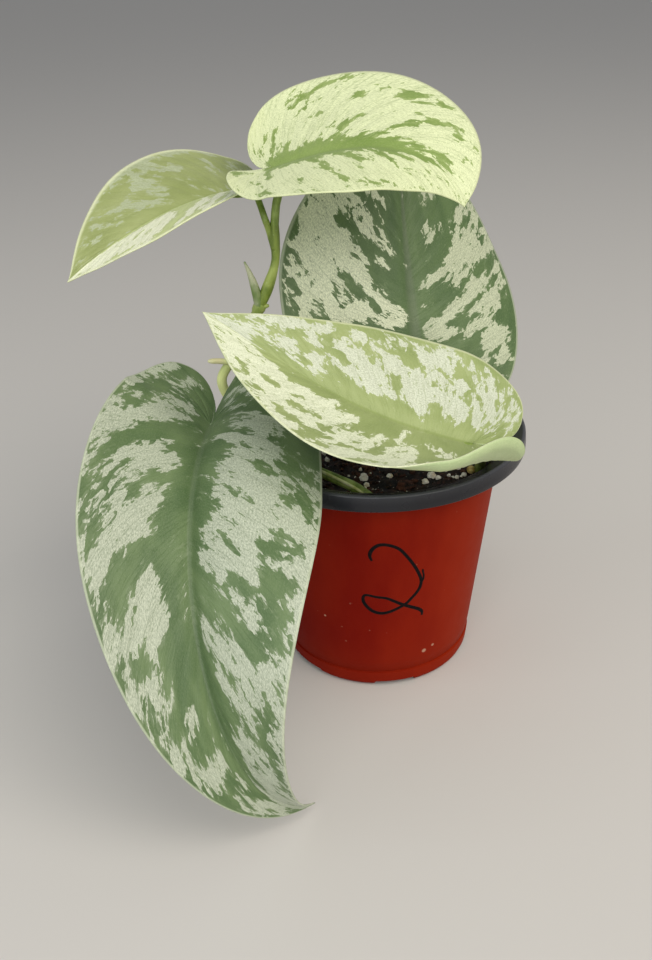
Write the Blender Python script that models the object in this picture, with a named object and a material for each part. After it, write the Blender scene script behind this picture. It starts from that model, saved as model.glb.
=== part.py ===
# A potted satin pothos with silver-variegated leaves, in a small nursery pot.
# Metres, +Z up. The origin is the middle of the pot's flat underside, and the plant's front faces -Y.
import math

import bmesh
import bpy
from mathutils import Matrix, Quaternion, Vector, noise

MM = 0.001
GAP = 0.3 * MM

# The pot: a thin tapered shell with a flat rolled lip.
RIM_RADIUS = 52.5 * MM
POT_HEIGHT = 90.6 * MM
LIP_DEPTH = 5.7 * MM
LIP_WIDTH = 6.0 * MM
WALL_TOP_RADIUS = 43.9 * MM
BASE_RADIUS = 35.1 * MM
WALL = 1.2 * MM
FOOT_HEIGHT = 6.4 * MM
FOOT_STEP = 0.35 * MM
CORNER = 2.6 * MM
POT_SIDES = 40

# Drain slots, cut through the lower corner of the pot.
SLOTS = 6
SLOT_LENGTH = 15.0 * MM
SLOT_HEIGHT = 2.2 * MM
SLOT_INNER_RADIUS = 29.5 * MM

# The potting mix, and the grains and chips that stand out of it.
SOIL_LEVEL = 76.5 * MM
SOIL_RELIEF = 1.0 * MM
HOLE_CLEARANCE = 0.45 * MM
GRAIN_ROUGHNESS = 0.28
PERLITE_FLATNESS = 0.9
BARK_FLATNESS = 0.45
SOIL_SIDES = 44
SOIL_RINGS = 7

# Each grain: place x, y and radius in mm. The pale ones are perlite, the flat dark ones bark.
PERLITE = [
    (-5.2, -16.0, 2.0), (-4.2, -20.5, 1.3), (3.4, -15.5, 1.5), (18.5, -16.0, 1.9), (16.0, -20.0, 1.3),
    (-19.5, -3.0, 1.2), (29.0, -12.5, 1.1), (31.5, 8.0, 1.7), (8.0, 27.0, 1.8), (-12.0, 31.0, 1.5),
    (-26.0, 18.0, 1.6), (24.5, 24.0, 1.3), (-7.0, 12.0, 1.7),
]
BARK = [
    (9.0, -21.5, 3.2), (25.0, -4.0, 3.0), (-20.0, -13.0, 2.8), (-24.0, 28.0, 3.4), (17.0, 33.0, 3.2),
    (35.0, 17.0, 2.6), (0.0, 22.0, 3.0), (-33.0, 13.0, 2.6),
]

# The vine: points up its middle with its radius there, in mm. It leans out over the rim, then climbs.
VINE_ROUTE = [
    (-33.0, 2.0, 62.0, 1.7), (-34.5, 2.0, 74.0, 1.7), (-41.0, 1.5, 88.0, 1.7), (-49.5, 0.6, 99.0, 1.7),
    (-53.2, 0.0, 108.5, 1.7), (-48.6, 0.0, 117.0, 1.6), (-42.8, 0.0, 127.0, 1.6), (-38.8, 0.0, 134.3, 1.7),
    (-35.4, 0.0, 141.5, 1.9), (-32.6, 0.0, 149.7, 1.35), (-32.3, 0.0, 157.0, 1.6), (-32.2, 0.0, 162.0, 1.4),
]
FORK_ARM = [(-32.6, -0.3, 154.0, 1.2), (-33.8, -0.3, 159.5, 1.15), (-34.9, -0.3, 163.0, 1.1)]
NODE_RING = [
    (-39.5, 0.0, 132.9, 1.5), (-39.1, 0.0, 133.7, 2.1), (-38.3, 0.0, 135.2, 2.1), (-37.9, 0.0, 136.2, 1.6),
]
SHEATH = [
    (-38.6, -0.4, 135.0, 1.5), (-39.6, -0.6, 141.0, 1.5), (-41.0, -0.6, 146.0, 0.9), (-42.6, -0.4, 150.2, 0.35),
]
NODE_BUD = [(-37.6, -0.4, 134.8, 0.9), (-35.4, -0.7, 135.2, 0.5)]
AERIAL_ROOT = [(-49.6, -0.6, 115.4, 1.0), (-53.0, -1.4, 116.3, 0.9), (-56.8, -2.0, 116.6, 0.45)]

# Each leaf: where its blade joins the petiole, in mm; the way its midrib sets off and how the blade
# bends, in degrees; its outline sizes, in mm; and its petiole's route from the soil or the vine.
LEAVES = {
    "leaf_front": {
        "base": (-55.6, -22.6, 102.6), "heading": 257.5, "pitch": -9, "roll": 11,
        "length": 153, "halves": (42.5, 35), "widest": 34.5, "lobes": (31, 23),
        "fullness": 0.36, "slimness": 0.12, "bend": (112, 61, 85), "droop": 49,
        "sickle": (-24, 15), "hook": -44, "twist": -1, "lobe_droop": -32,
        "fold": (21, 41), "curl": (-81, 7), "tip_curl": (7, 0), "lobe_curl": (1, -6),
        "petiole": [(-1.0, -30.0, 65.0, 1.9), (-1.5, -30.0, 74.0, 1.9), (-8.0, -29.3, 80.5, 1.9),
                    (-19.0, -27.0, 85.5, 1.7), (-37.0, -24.5, 93.8, 1.6)],
    },
    "leaf_left": {
        "base": (-41.1, 16.6, 169.3), "heading": 205.4, "pitch": 6.5, "roll": -2.0,
        "length": 68.3, "halves": (26.4, 27.6), "widest": 17.4, "lobes": (4.0, 7.0),
        "fullness": 0.45, "slimness": 0.09, "bend": (64.4, 38.2, 23.8), "droop": -4.9,
        "sickle": (-15.0, 0.1), "hook": -6.5, "twist": -22.7, "lobe_droop": 16.4,
        "fold": (18.8, 15.2), "curl": (0, 0), "tip_curl": (0, 0), "lobe_curl": (0, 0),
        "petiole": [(-35.0, -0.3, 163.4, 1.05), (-36.0, 0.8, 166.5, 1.05), (-37.6, 6.0, 169.6, 1.05),
                    (-38.8, 12.0, 170.6, 1.05)],
    },
    "leaf_top": {
        "base": (-32.3, 1.5, 179.5), "heading": -2.5, "pitch": 17.6, "roll": 10.7,
        "length": 69, "halves": (40.9, 31.4), "widest": 17.8, "lobes": (8.4, 14.5),
        "fullness": 0.65, "slimness": 0.07, "bend": (7.3, 48, 68), "droop": 22,
        "sickle": (7, 112), "hook": 10, "twist": 23.3, "lobe_droop": -56,
        "fold": (-0.3, 8), "curl": (28.6, -7), "tip_curl": (-25, 14), "lobe_curl": (10, -9),
        "lobe_fold": (2, 2),
        "petiole": [(-32.2, 0.0, 162.55, 1.35), (-31.4, -0.6, 168.0, 1.3), (-30.2, -1.2, 173.0, 1.3),
                    (-31.0, 0.0, 177.0, 1.3)],
    },
    "leaf_right": {
        "base": (28.3, -40.1, 101.9), "heading": 172, "pitch": 12, "roll": -11.9,
        "length": 94, "halves": (44.8, 35), "widest": 9.6, "lobes": (12.3, 14.5),
        "fullness": 0.48, "slimness": 0.07, "bend": (-39, -42, 38), "droop": 14,
        "sickle": (-6, 29), "hook": 1, "twist": -23, "lobe_droop": 1,
        "fold": (4.1, 13), "curl": (56.6, 6), "tip_curl": (25.1, -15), "lobe_curl": (12.8, -4),
        "lobe_fold": (12.6, 0), "rolled": 53.3,
        "petiole": [(35.0, -11.0, 65.0, 1.8), (35.2, -11.5, 74.0, 1.8), (35.0, -17.0, 83.0, 1.7),
                    (33.5, -27.0, 91.5, 1.6)],
    },
    "leaf_back": {
        "base": (16.3, 8.0, 104.2), "heading": 103.3, "pitch": 64.6, "roll": 2.4,
        "length": 104.7, "halves": (48.2, 45.3), "widest": 33.2, "lobes": (16.9, 14.3),
        "fullness": 0.51, "slimness": 0.22, "bend": (20.5, -5.8, 4.4), "droop": -8,
        "sickle": (10.4, 2.5), "hook": -7.7, "twist": 18.6, "lobe_droop": 18.2,
        "fold": (4.3, 0.2), "curl": (-8.6, -11.3), "tip_curl": (-17.6, -39.4), "lobe_curl": (0, 3.9),
        "petiole": [(6.0, 14.0, 65.0, 1.8), (7.0, 14.5, 76.0, 1.8), (11.0, 15.5, 88.0, 1.7),
                    (15.0, 13.5, 97.5, 1.6)],
    },
}

# The outline that all the leaves share. U runs along the margin from the notch at 0 to the tip at 1:
# the lobe turns at LOBE_TURN_U and the half is widest at SHOULDER_U. ROUND draws a quarter circle.
LOBE_TURN_U = 0.12
SHOULDER_U = 0.42
LOBE_WIDTH = 0.45
ROUND = 0.5523

# The lobes lift by their own fold, which fades in over a stretch of the blade, in mm from the petiole.
LOBE_FOLD_END = 14.0
LOBE_FOLD_STRETCH = 26.0

# One leaf's left margin is rolled up near its lobe, from this share of the half's width outwards.
ROLL_FROM = 0.88
ROLL_END = 31.8
ROLL_STRETCH = 19.1

# The side veins leave the midrib after VEIN_START_U, reach LAST_VEIN of its length and arch forward.
VEIN_START_U = 0.26
LAST_VEIN = 0.86
VEIN_ARCH = 0.16

BLADE_THICKNESS = 0.7 * MM
BLADE_STEPS_ALONG = 24
BLADE_STEPS_ACROSS = 10
MIDRIB_STEPS = 24
LOBE_STEPS = 6


def clear_scene():
    for item in list(bpy.data.objects):
        bpy.data.objects.remove(item, do_unlink=True)


def material(name, colour, roughness):
    made = bpy.data.materials.new(name)
    made.use_nodes = True
    shader = made.node_tree.nodes["Principled BSDF"]
    shader.inputs["Base Color"].default_value = (*colour, 1.0)
    shader.inputs["Roughness"].default_value = roughness
    shader.inputs["Metallic"].default_value = 0.0
    return made


def add_object(name, mesh, finish=None):
    item = bpy.data.objects.new(name, mesh)
    bpy.context.scene.collection.objects.link(item)
    if finish:
        mesh.materials.append(finish)
    return item


def mesh_from(bm, name):
    mesh = bpy.data.meshes.new(name)
    bm.to_mesh(mesh)
    bm.free()
    return mesh


def hide_helper(item):
    item.hide_render = True
    item.display_type = "WIRE"


def applied(item):
    """The object with its modifiers applied, as plain geometry."""
    graph = bpy.context.evaluated_depsgraph_get()
    mesh = bpy.data.meshes.new_from_object(item.evaluated_get(graph))
    item.modifiers.clear()
    item.data = mesh
    return item


def smooth_route(points, steps=3):
    """Points on a smooth curve through the given ones; each point keeps its last value, the radius."""
    ends = [points[0], *points, points[-1]]
    route = []
    for i in range(len(points) - 1):
        p0, p1, p2, p3 = (ends[i + k] for k in range(4))
        for s in range(steps):
            t = s / steps
            route.append(tuple(
                b + 0.5 * t * (c - a + t * (2 * a - 5 * b + 4 * c - d + t * (3 * b - a - 3 * c + d)))
                for a, b, c, d in zip(p0, p1, p2, p3)
            ))
    route.append(tuple(points[-1]))
    return route


def tube(name, points, sides=8, extra=0.0):
    """A round tube along points of x, y, z and radius in mm, closed at both ends."""
    route = [Vector(point[:3]) * MM for point in points]
    bm = bmesh.new()
    side = None
    rings = []
    for i, centre in enumerate(route):
        along = (route[min(i + 1, len(route) - 1)] - route[max(i - 1, 0)]).normalized()
        side = along.orthogonal() if side is None else (side - along * side.dot(along))
        side.normalize()
        turn = Matrix((side, along.cross(side), along)).transposed().to_4x4()
        radius = points[i][3] * MM + extra
        circle = bmesh.ops.create_circle(
            bm, segments=sides, radius=radius, matrix=Matrix.Translation(centre) @ turn
        )["verts"]
        rings.append(list({edge for vert in circle for edge in vert.link_edges}))
    for lower, upper in zip(rings, rings[1:]):
        bmesh.ops.bridge_loops(bm, edges=lower + upper)
    bmesh.ops.contextual_create(bm, geom=rings[0])
    bmesh.ops.contextual_create(bm, geom=rings[-1])
    bmesh.ops.recalc_face_normals(bm, faces=bm.faces)
    return mesh_from(bm, name)


def bezier(a, b, c, d, t):
    s = 1 - t
    return a * s ** 3 + 3 * b * s * s * t + 3 * c * s * t * t + d * t ** 3


def edge_point(leaf, side, u):
    """Flat outline of one half, in mm: u runs from the notch at the petiole, round the lobe, to the tip."""
    length, widest = leaf["length"], leaf["widest"]
    half, lobe = leaf["halves"][side], leaf["lobes"][side]
    back_width = LOBE_WIDTH * half
    back, wide = Vector((-lobe, back_width)), Vector((widest, half))
    if u <= LOBE_TURN_U:
        inner = Vector((-0.45 * lobe, 0.02 * half))
        outer = Vector((-lobe, 0.6 * (1 - ROUND) * back_width))
        return bezier(Vector((0, 0)), inner, outer, back, u / LOBE_TURN_U)
    if u <= SHOULDER_U:
        rise = Vector((-lobe, back_width + ROUND * (half - back_width)))
        level = Vector((widest - ROUND * (widest + lobe), half))
        return bezier(back, rise, level, wide, (u - LOBE_TURN_U) / (SHOULDER_U - LOBE_TURN_U))
    reach = length - widest
    full = Vector((widest + leaf["fullness"] * reach, half))
    slim = Vector((length - leaf["slimness"] * reach, 0.05 * half))
    return bezier(wide, full, slim, Vector((length, 0)), (u - SHOULDER_U) / (1 - SHOULDER_U))


def flat_point(leaf, u, v):
    """Along an arched side vein: v = 0 on the midrib, 1 on the right edge and -1 on the left edge."""
    side = 1 if v >= 0 else 0
    t = abs(v)
    edge = edge_point(leaf, side, u)
    root = LAST_VEIN * leaf["length"] * max(0.0, (u - VEIN_START_U) / (1 - VEIN_START_U)) ** 1.5
    bow = VEIN_ARCH * (1 - u ** 3)
    arch = Vector(((root + edge.x) / 2 - bow * edge.y, edge.y / 2 + bow * (edge.x - root)))
    point = Vector((root, 0)) * (1 - t) ** 2 + arch * 2 * t * (1 - t) + edge * t * t
    return point.x, math.copysign(point.y, v)


def midrib_walk(leaf, start, step, steps, rates):
    """Frames (place, along, up) at equal steps; rates gives the bend, sickle and twist in degrees."""
    place, along, up = (item.copy() for item in start)
    frames = [(place.copy(), along.copy(), up.copy())]
    for i in range(steps):
        bend, sickle, twist = (math.radians(rate) / steps for rate in rates((i + 0.5) / steps))
        before = along.copy()
        turn = Quaternion(along.cross(up), -bend)
        along.rotate(turn)
        up.rotate(turn)
        along.rotate(Quaternion(up, -sickle))
        up.rotate(Quaternion(along, twist))
        up = (up - along * up.dot(along)).normalized()
        place += (along + before).normalized() * step
        frames.append((place.copy(), along.copy(), up.copy()))
    return frames


def midrib_frames(leaf):
    """The midrib's frames from behind the petiole's joint to the tip, and their places along it in mm."""
    heading, pitch = math.radians(leaf["heading"]), math.radians(leaf["pitch"])
    along = Vector((math.cos(pitch) * math.cos(heading), math.cos(pitch) * math.sin(heading), math.sin(pitch)))
    up = Vector((-math.sin(pitch) * math.cos(heading), -math.sin(pitch) * math.sin(heading), math.cos(pitch)))
    up.rotate(Quaternion(along, math.radians(leaf["roll"])))
    start = (Vector(leaf["base"]), along, up)
    near, middle, far = leaf["bend"]

    def rates(f):
        bend = near * (1 - 2 * f) + middle * 2 * f if f < 0.5 else middle * (2 - 2 * f) + far * (2 * f - 1)
        bend += 4 * leaf["droop"] * f ** 3
        sickle = leaf["sickle"][0] * (1 - f) + leaf["sickle"][1] * f + 4 * leaf["hook"] * f ** 3
        return bend, sickle, leaf["twist"]

    reach = max(leaf["lobes"]) + 1
    ahead = midrib_walk(leaf, start, leaf["length"] / MIDRIB_STEPS, MIDRIB_STEPS, rates)
    behind = midrib_walk(leaf, start, -reach / LOBE_STEPS, LOBE_STEPS, lambda f: (-leaf["lobe_droop"], 0, 0))
    places = [-reach * k / LOBE_STEPS for k in range(LOBE_STEPS, 0, -1)]
    places += [leaf["length"] * k / MIDRIB_STEPS for k in range(MIDRIB_STEPS + 1)]
    return places, behind[:0:-1] + ahead


def frame_at(rib, x):
    places, frames = rib
    k = 1
    while k < len(places) - 1 and places[k] < x:
        k += 1
    t = min(1.0, max(0.0, (x - places[k - 1]) / (places[k] - places[k - 1])))
    place, along, up = (a.lerp(b, t) for a, b in zip(frames[k - 1], frames[k]))
    return place, along, up.normalized()


def fade(x, end, stretch):
    """1 near the petiole, falling smoothly to 0 at the end."""
    t = min(1.0, max(0.0, (end - x) / stretch))
    return t * t * (3 - 2 * t)


def arc(lean, turn, out):
    """Sideways and upward travel along a round arc that starts at a lean; the lean at its end."""
    after = lean + turn * out
    if abs(turn) < 1e-6:
        return out * math.cos(lean), out * math.sin(lean), after
    return (math.sin(after) - math.sin(lean)) / turn, (math.cos(lean) - math.cos(after)) / turn, after


def blade_point(leaf, rib, u, v):
    """A point of the bent blade, in mm. Each half starts at its fold angle and curls on a round arc."""
    x, y = flat_point(leaf, u, v)
    place, along, up = frame_at(rib, x)
    across = along.cross(up)
    side = 1 if y >= 0 else 0
    f = min(1.0, max(0.0, x / leaf["length"]))
    behind = min(1.5, max(0.0, -x / 8))
    curl = leaf["curl"][side] * (1 - f) + leaf["tip_curl"][side] * f + leaf["lobe_curl"][side] * behind
    lobe_fold = leaf.get("lobe_fold", (0, 0))[side] * fade(x, LOBE_FOLD_END, LOBE_FOLD_STRETCH)
    fold = math.radians(leaf["fold"][side] + lobe_fold)
    turn = math.radians(curl) / leaf["halves"][side]
    out = abs(y)
    if side == 1 or "rolled" not in leaf:
        lateral, lift, _ = arc(fold, turn, out)
    else:
        width = edge_point(leaf, side, u).y
        start = ROLL_FROM * width
        lateral, lift, lean = arc(fold, turn, min(out, start))
        if out > start:
            roll = math.radians(leaf["rolled"]) * fade(x, ROLL_END, ROLL_STRETCH)
            more_lateral, more_lift, _ = arc(lean, turn + roll / (width - start), out - start)
            lateral += more_lateral
            lift += more_lift
    return place + across * math.copysign(lateral, y) + up * lift


def blade_mesh(name, leaf, rib):
    """The blade as one sheet, its rows lying along the side veins."""
    bm = bmesh.new()
    bmesh.ops.create_grid(bm, x_segments=BLADE_STEPS_ALONG, y_segments=BLADE_STEPS_ACROSS, size=1)
    for vert in bm.verts:
        vert.co = blade_point(leaf, rib, (vert.co.x + 1) / 2, vert.co.y) * MM
    bmesh.ops.remove_doubles(bm, verts=bm.verts, dist=0.02 * MM)
    bmesh.ops.triangulate(bm, faces=bm.faces)
    return mesh_from(bm, name)


def petiole_route(leaf, rib):
    """Up the petiole to the blade, then on along the underside as the raised midrib."""
    stalk = [tuple(point) for point in leaf["petiole"]]
    radius = stalk[-1][3]
    for share, thick in ((0.0, 0.9), (0.06, 0.8), (0.2, 0.6), (0.4, 0.42)):
        place, along, up = frame_at(rib, share * leaf["length"])
        sunk = place - up * radius * thick * 0.75
        stalk.append((*sunk, radius * thick))
    return smooth_route(stalk, 3)


def make_leaf(name, leaf, finish):
    rib = midrib_frames(leaf)
    blade = add_object(name, blade_mesh(name, leaf, rib), finish)
    petiole = add_object(name + "_petiole", tube(name + "_petiole", petiole_route(leaf, rib), 8))
    hide_helper(petiole)
    thicken = blade.modifiers.new("thickness", "SOLIDIFY")
    thicken.thickness = BLADE_THICKNESS
    thicken.offset = 0.0
    join = blade.modifiers.new("petiole", "BOOLEAN")
    join.operation = "UNION"
    join.solver = "MANIFOLD"
    join.object = petiole
    blade.data.shade_smooth()
    return blade


def join_all(name, pieces, finish):
    """One body from overlapping pieces, by a union on a collection that is then taken away."""
    first, others = pieces[0], pieces[1:]
    group = bpy.data.collections.new(name + "_pieces")
    for item in others:
        group.objects.link(item)
    join = first.modifiers.new("join", "BOOLEAN")
    join.operation = "UNION"
    join.solver = "EXACT"
    join.operand_type = "COLLECTION"
    join.collection = group
    applied(first)
    for item in others:
        bpy.data.objects.remove(item, do_unlink=True)
    bpy.data.collections.remove(group)
    first.name = name
    first.data.name = name
    first.data.materials.clear()
    first.data.materials.append(finish)
    return first


def make_vine(finish):
    routes = [smooth_route(VINE_ROUTE), smooth_route(FORK_ARM), NODE_RING, smooth_route(SHEATH), NODE_BUD,
              smooth_route(AERIAL_ROOT)]
    pieces = [add_object(f"vine_{i}", tube(f"vine_{i}", route)) for i, route in enumerate(routes)]
    vine = join_all("vine", pieces, finish)
    vine.data.shade_smooth()
    return vine


def turned(profile, sides):
    """A closed profile of radius and height spun round the Z axis."""
    bm = bmesh.new()
    verts = [bm.verts.new((radius, 0, height)) for radius, height in profile]
    edges = [bm.edges.new((verts[i], verts[(i + 1) % len(verts)])) for i in range(len(verts))]
    bmesh.ops.spin(
        bm, geom=verts + edges, cent=(0, 0, 0), axis=(0, 0, 1), angle=2 * math.pi, steps=sides, use_merge=True
    )
    bmesh.ops.remove_doubles(bm, verts=bm.verts, dist=0.001 * MM)
    loose = [edge for edge in bm.edges if edge.is_wire]
    bmesh.ops.delete(bm, geom=loose, context="EDGES")
    bmesh.ops.recalc_face_normals(bm, faces=bm.faces)
    return bm


def wall_radius(height):
    """Outer radius of the tapered wall at a height."""
    share = (height - CORNER) / (POT_HEIGHT - LIP_DEPTH - CORNER)
    return BASE_RADIUS + (WALL_TOP_RADIUS - BASE_RADIUS) * share


def pot_profile():
    lip_bottom = POT_HEIGHT - LIP_DEPTH
    flange_inner = RIM_RADIUS - LIP_WIDTH
    corner = [
        (BASE_RADIUS - CORNER + CORNER * math.sin(a), CORNER - CORNER * math.cos(a))
        for a in (math.radians(30 * k) for k in range(4))
    ]
    outside = [
        (0, 0), *corner,
        (wall_radius(FOOT_HEIGHT), FOOT_HEIGHT),
        (wall_radius(FOOT_HEIGHT) - FOOT_STEP, FOOT_HEIGHT + 0.3 * MM),
        (wall_radius(lip_bottom + 1.6 * MM), lip_bottom + 1.6 * MM),
    ]
    lip = [
        (RIM_RADIUS - WALL, POT_HEIGHT - 3.0 * MM),
        (RIM_RADIUS - WALL, lip_bottom),
        (RIM_RADIUS, lip_bottom),
        (RIM_RADIUS, POT_HEIGHT - 0.7 * MM),
        (RIM_RADIUS - 0.9 * MM, POT_HEIGHT),
        (flange_inner, POT_HEIGHT - 2.2 * MM),
    ]
    inside = [
        (wall_radius(lip_bottom + 0.4 * MM) - WALL, lip_bottom + 0.4 * MM),
        (wall_radius(4 * MM) - WALL, 4 * MM),
        (BASE_RADIUS - CORNER, WALL),
        (0, WALL),
    ]
    return outside + lip + inside


def make_pot(finish):
    pot = add_object("pot", mesh_from(turned(pot_profile(), POT_SIDES), "pot"), finish)
    depth = BASE_RADIUS + 5 * MM - SLOT_INNER_RADIUS
    for i in range(SLOTS):
        angle = 2 * math.pi * (i + 0.5) / SLOTS - math.pi / 2 - math.radians(22)
        bm = bmesh.new()
        bmesh.ops.create_cube(bm, size=1)
        bmesh.ops.scale(bm, vec=(depth, SLOT_LENGTH, 2 * SLOT_HEIGHT), verts=bm.verts)
        bmesh.ops.translate(bm, vec=(SLOT_INNER_RADIUS + depth / 2, 0, 0), verts=bm.verts)
        bmesh.ops.rotate(bm, matrix=Matrix.Rotation(angle, 3, "Z"), cent=(0, 0, 0), verts=bm.verts)
        cutter = add_object(f"slot_cutter_{i}", mesh_from(bm, f"slot_cutter_{i}"))
        hide_helper(cutter)
        cut = pot.modifiers.new(f"slot_{i}", "BOOLEAN")
        cut.operation = "DIFFERENCE"
        cut.solver = "EXACT"
        cut.object = cutter
    pot.data.shade_smooth()
    pot.data.set_sharp_from_angle(angle=math.radians(35))
    return pot


def soil_height(x, y):
    """The lie of the potting mix: coarse and fine crumbs from noise."""
    crumbs = noise.noise(Vector((x, y, 0)) / (6 * MM)) + 0.5 * noise.noise(Vector((x, y, 9)) / (2.6 * MM))
    return SOIL_LEVEL + SOIL_RELIEF * crumbs


def soil_body():
    inner = WALL + GAP
    top_radius = wall_radius(SOIL_LEVEL) - inner
    sides = [(wall_radius(h) - inner, h) for h in (30 * MM, 60 * MM)]
    rings = [(top_radius * k / SOIL_RINGS, SOIL_LEVEL) for k in range(SOIL_RINGS, -1, -1)]
    floor = [
        (0, WALL + GAP),
        (BASE_RADIUS - CORNER - 1.5 * MM, WALL + GAP),
        (wall_radius(5 * MM) - inner - GAP, 5 * MM),
    ]
    bm = turned(floor + sides + rings, SOIL_SIDES)
    for vert in bm.verts:
        if vert.co.z > SOIL_LEVEL - MM and vert.co.xy.length < top_radius * 0.99:
            vert.co.z = soil_height(vert.co.x, vert.co.y)
    return mesh_from(bm, "soil")


def lump(name, x, y, radius, flatness, turn):
    """A small rough grain, sunk by a third into the soil."""
    bm = bmesh.new()
    bmesh.ops.create_icosphere(bm, subdivisions=1, radius=radius)
    for vert in bm.verts:
        vert.co *= 1 + GRAIN_ROUGHNESS * noise.noise(vert.co / radius * 1.3 + Vector((x, y, 0)) / MM)
        vert.co.z *= flatness
    bmesh.ops.rotate(bm, matrix=Matrix.Rotation(turn, 3, "Z"), cent=(0, 0, 0), verts=bm.verts)
    rest = soil_height(x, y) + 0.3 * radius * flatness
    bmesh.ops.translate(bm, vec=(x, y, rest), verts=bm.verts)
    return add_object(name, mesh_from(bm, name))


def make_soil(finish, stems):
    pieces = [add_object("soil_body", soil_body())]
    for i, (x, y, radius) in enumerate(PERLITE):
        pieces.append(lump(f"perlite_{i}", x * MM, y * MM, radius * MM, PERLITE_FLATNESS, i))
    for i, (x, y, radius) in enumerate(BARK):
        pieces.append(lump(f"bark_{i}", x * MM, y * MM, radius * MM, BARK_FLATNESS, 2.1 * i))
    soil = join_all("soil", pieces, finish)
    for i, route in enumerate(stems):
        cutter = add_object(f"stem_hole_{i}", tube(f"stem_hole_{i}", route, 10, extra=HOLE_CLEARANCE))
        hide_helper(cutter)
        cut = soil.modifiers.new(f"stem_{i}", "BOOLEAN")
        cut.operation = "DIFFERENCE"
        cut.solver = "EXACT"
        cut.object = cutter
    return soil


def below_ground(route):
    """The foot of a stem's route, with its end pushed a little deeper, for the hole it stands in."""
    foot = [point for point in route if point[2] * MM < SOIL_LEVEL + 12 * MM]
    x, y, z, radius = foot[0]
    return [(x, y, z - GAP / MM, radius), *foot[1:]]


def main():
    clear_scene()
    make_pot(material("pot_plastic", (0.20, 0.02, 0.008), 0.55))
    dark_green = material("dark_green_leaf", (0.12, 0.24, 0.09), 0.45)
    pale_green = material("pale_green_leaf", (0.42, 0.55, 0.24), 0.45)
    for name, leaf in LEAVES.items():
        make_leaf(name, leaf, dark_green if name in ("leaf_front", "leaf_back") else pale_green)
    make_vine(material("vine_green", (0.25, 0.35, 0.08), 0.5))
    stems = [smooth_route(VINE_ROUTE)]
    for leaf in LEAVES.values():
        if leaf["petiole"][0][2] * MM < SOIL_LEVEL:
            stems.append(petiole_route(leaf, midrib_frames(leaf)))
    make_soil(material("potting_mix", (0.02, 0.014, 0.01), 0.95), [below_ground(route) for route in stems])


main()
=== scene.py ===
# A young satin scindapsus in its nursery pot: the looks of the pot, the potting mix, the vine and its leaves.
import math
import random

import bmesh
import bpy
import numpy as np
from mathutils import Matrix, Vector, noise


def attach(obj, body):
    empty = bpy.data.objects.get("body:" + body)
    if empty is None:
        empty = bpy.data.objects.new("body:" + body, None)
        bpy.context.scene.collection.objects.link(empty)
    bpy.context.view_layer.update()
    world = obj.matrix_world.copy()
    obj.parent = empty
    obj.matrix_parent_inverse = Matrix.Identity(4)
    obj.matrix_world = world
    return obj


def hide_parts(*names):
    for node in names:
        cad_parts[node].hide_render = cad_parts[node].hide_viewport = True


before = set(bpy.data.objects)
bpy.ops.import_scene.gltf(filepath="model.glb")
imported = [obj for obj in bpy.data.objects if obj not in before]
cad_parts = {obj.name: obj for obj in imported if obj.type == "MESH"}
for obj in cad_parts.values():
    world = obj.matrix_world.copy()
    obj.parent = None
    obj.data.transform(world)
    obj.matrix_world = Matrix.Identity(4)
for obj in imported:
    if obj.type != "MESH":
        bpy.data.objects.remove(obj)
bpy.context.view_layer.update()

# The pot is a thin nursery pot, formed from one sheet of matt terracotta plastic with a dark inner layer.
# Its wall tapers to a stepped foot, and the sheet turns out and down at the top into a lip that shows the
# dark layer. Six slots through the corner of its base let water out.
MM = 0.001
RIM_RADIUS = 52.5 * MM
POT_HEIGHT = 90.6 * MM
LIP_BOTTOM = 84.9 * MM
LIP_WIDTH = 6.0 * MM
BASE_RADIUS = 35.1 * MM
WALL_TOP_RADIUS = 43.9 * MM
CORNER = 2.6 * MM
WALL = 1.2 * MM
FOOT_HEIGHT = 6.4 * MM
FOOT_GROOVE = ((0.10, -0.1), (0.60, 0), (0.66, 0.35), (0.38, 0.75))
SET_BACK = 0.3 * MM
POT_TURNS = 144
SLOTS = 6
SLOT_SIZE = (10.6 * MM, 15 * MM, 4.4 * MM)
SLOT_ROUNDING = 0.7 * MM
SLOT_FROM_MIDDLE = 34.8 * MM
SLOT_TURN = 22
SCUFF_MARKS = ((15.4, 14.0, 0.85), (18.7, 15.3, 0.60), (-20.2, 30.8, 0.45))


def keep(name, bm, slot, replaced, *finishes):
    """Makes a piece of a finished bmesh; it may stand for a solid of the frame, which it then replaces."""
    mesh = bpy.data.meshes.new(name)
    bm.to_mesh(mesh)
    bm.free()
    piece = bpy.data.objects.new(name, mesh)
    bpy.context.scene.collection.objects.link(piece)
    for finish in finishes:
        mesh.materials.append(finish)
    mesh.shade_smooth()
    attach(piece, "root")
    if replaced:
        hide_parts(replaced)
    return piece


def new_finish(name, roughness, **sockets):
    """A Principled material, with its node tree and its shader."""
    finish = bpy.data.materials.new(name)
    finish.use_nodes = True
    shader = finish.node_tree.nodes["Principled BSDF"]
    shader.inputs["Roughness"].default_value = roughness
    for socket, value in sockets.items():
        shader.inputs[socket.replace("_", " ")].default_value = value
    return finish, finish.node_tree, shader


def feed(tree, plug, value):
    """Gives a socket another node's output or a plain value."""
    if isinstance(value, bpy.types.NodeSocket):
        tree.links.new(value, plug)
    else:
        plug.default_value = value


def node(tree, kind, settings=None, **sockets):
    """One shader node with its settings, and what feeds its sockets."""
    made = tree.nodes.new("ShaderNode" + kind)
    for setting, value in (settings or {}).items():
        setattr(made, setting, value)
    for socket, value in sockets.items():
        feed(tree, made.inputs[socket.replace("_", " ")], value)
    return made


def sums(tree, operation, *values, kind="Math", out=0):
    """One sum on values and other nodes' outputs; the kind VectorMath takes places or directions."""
    made = node(tree, kind, {"operation": operation})
    for plug, value in zip(made.inputs, values):
        feed(tree, plug, value)
    return made.outputs[out]


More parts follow.
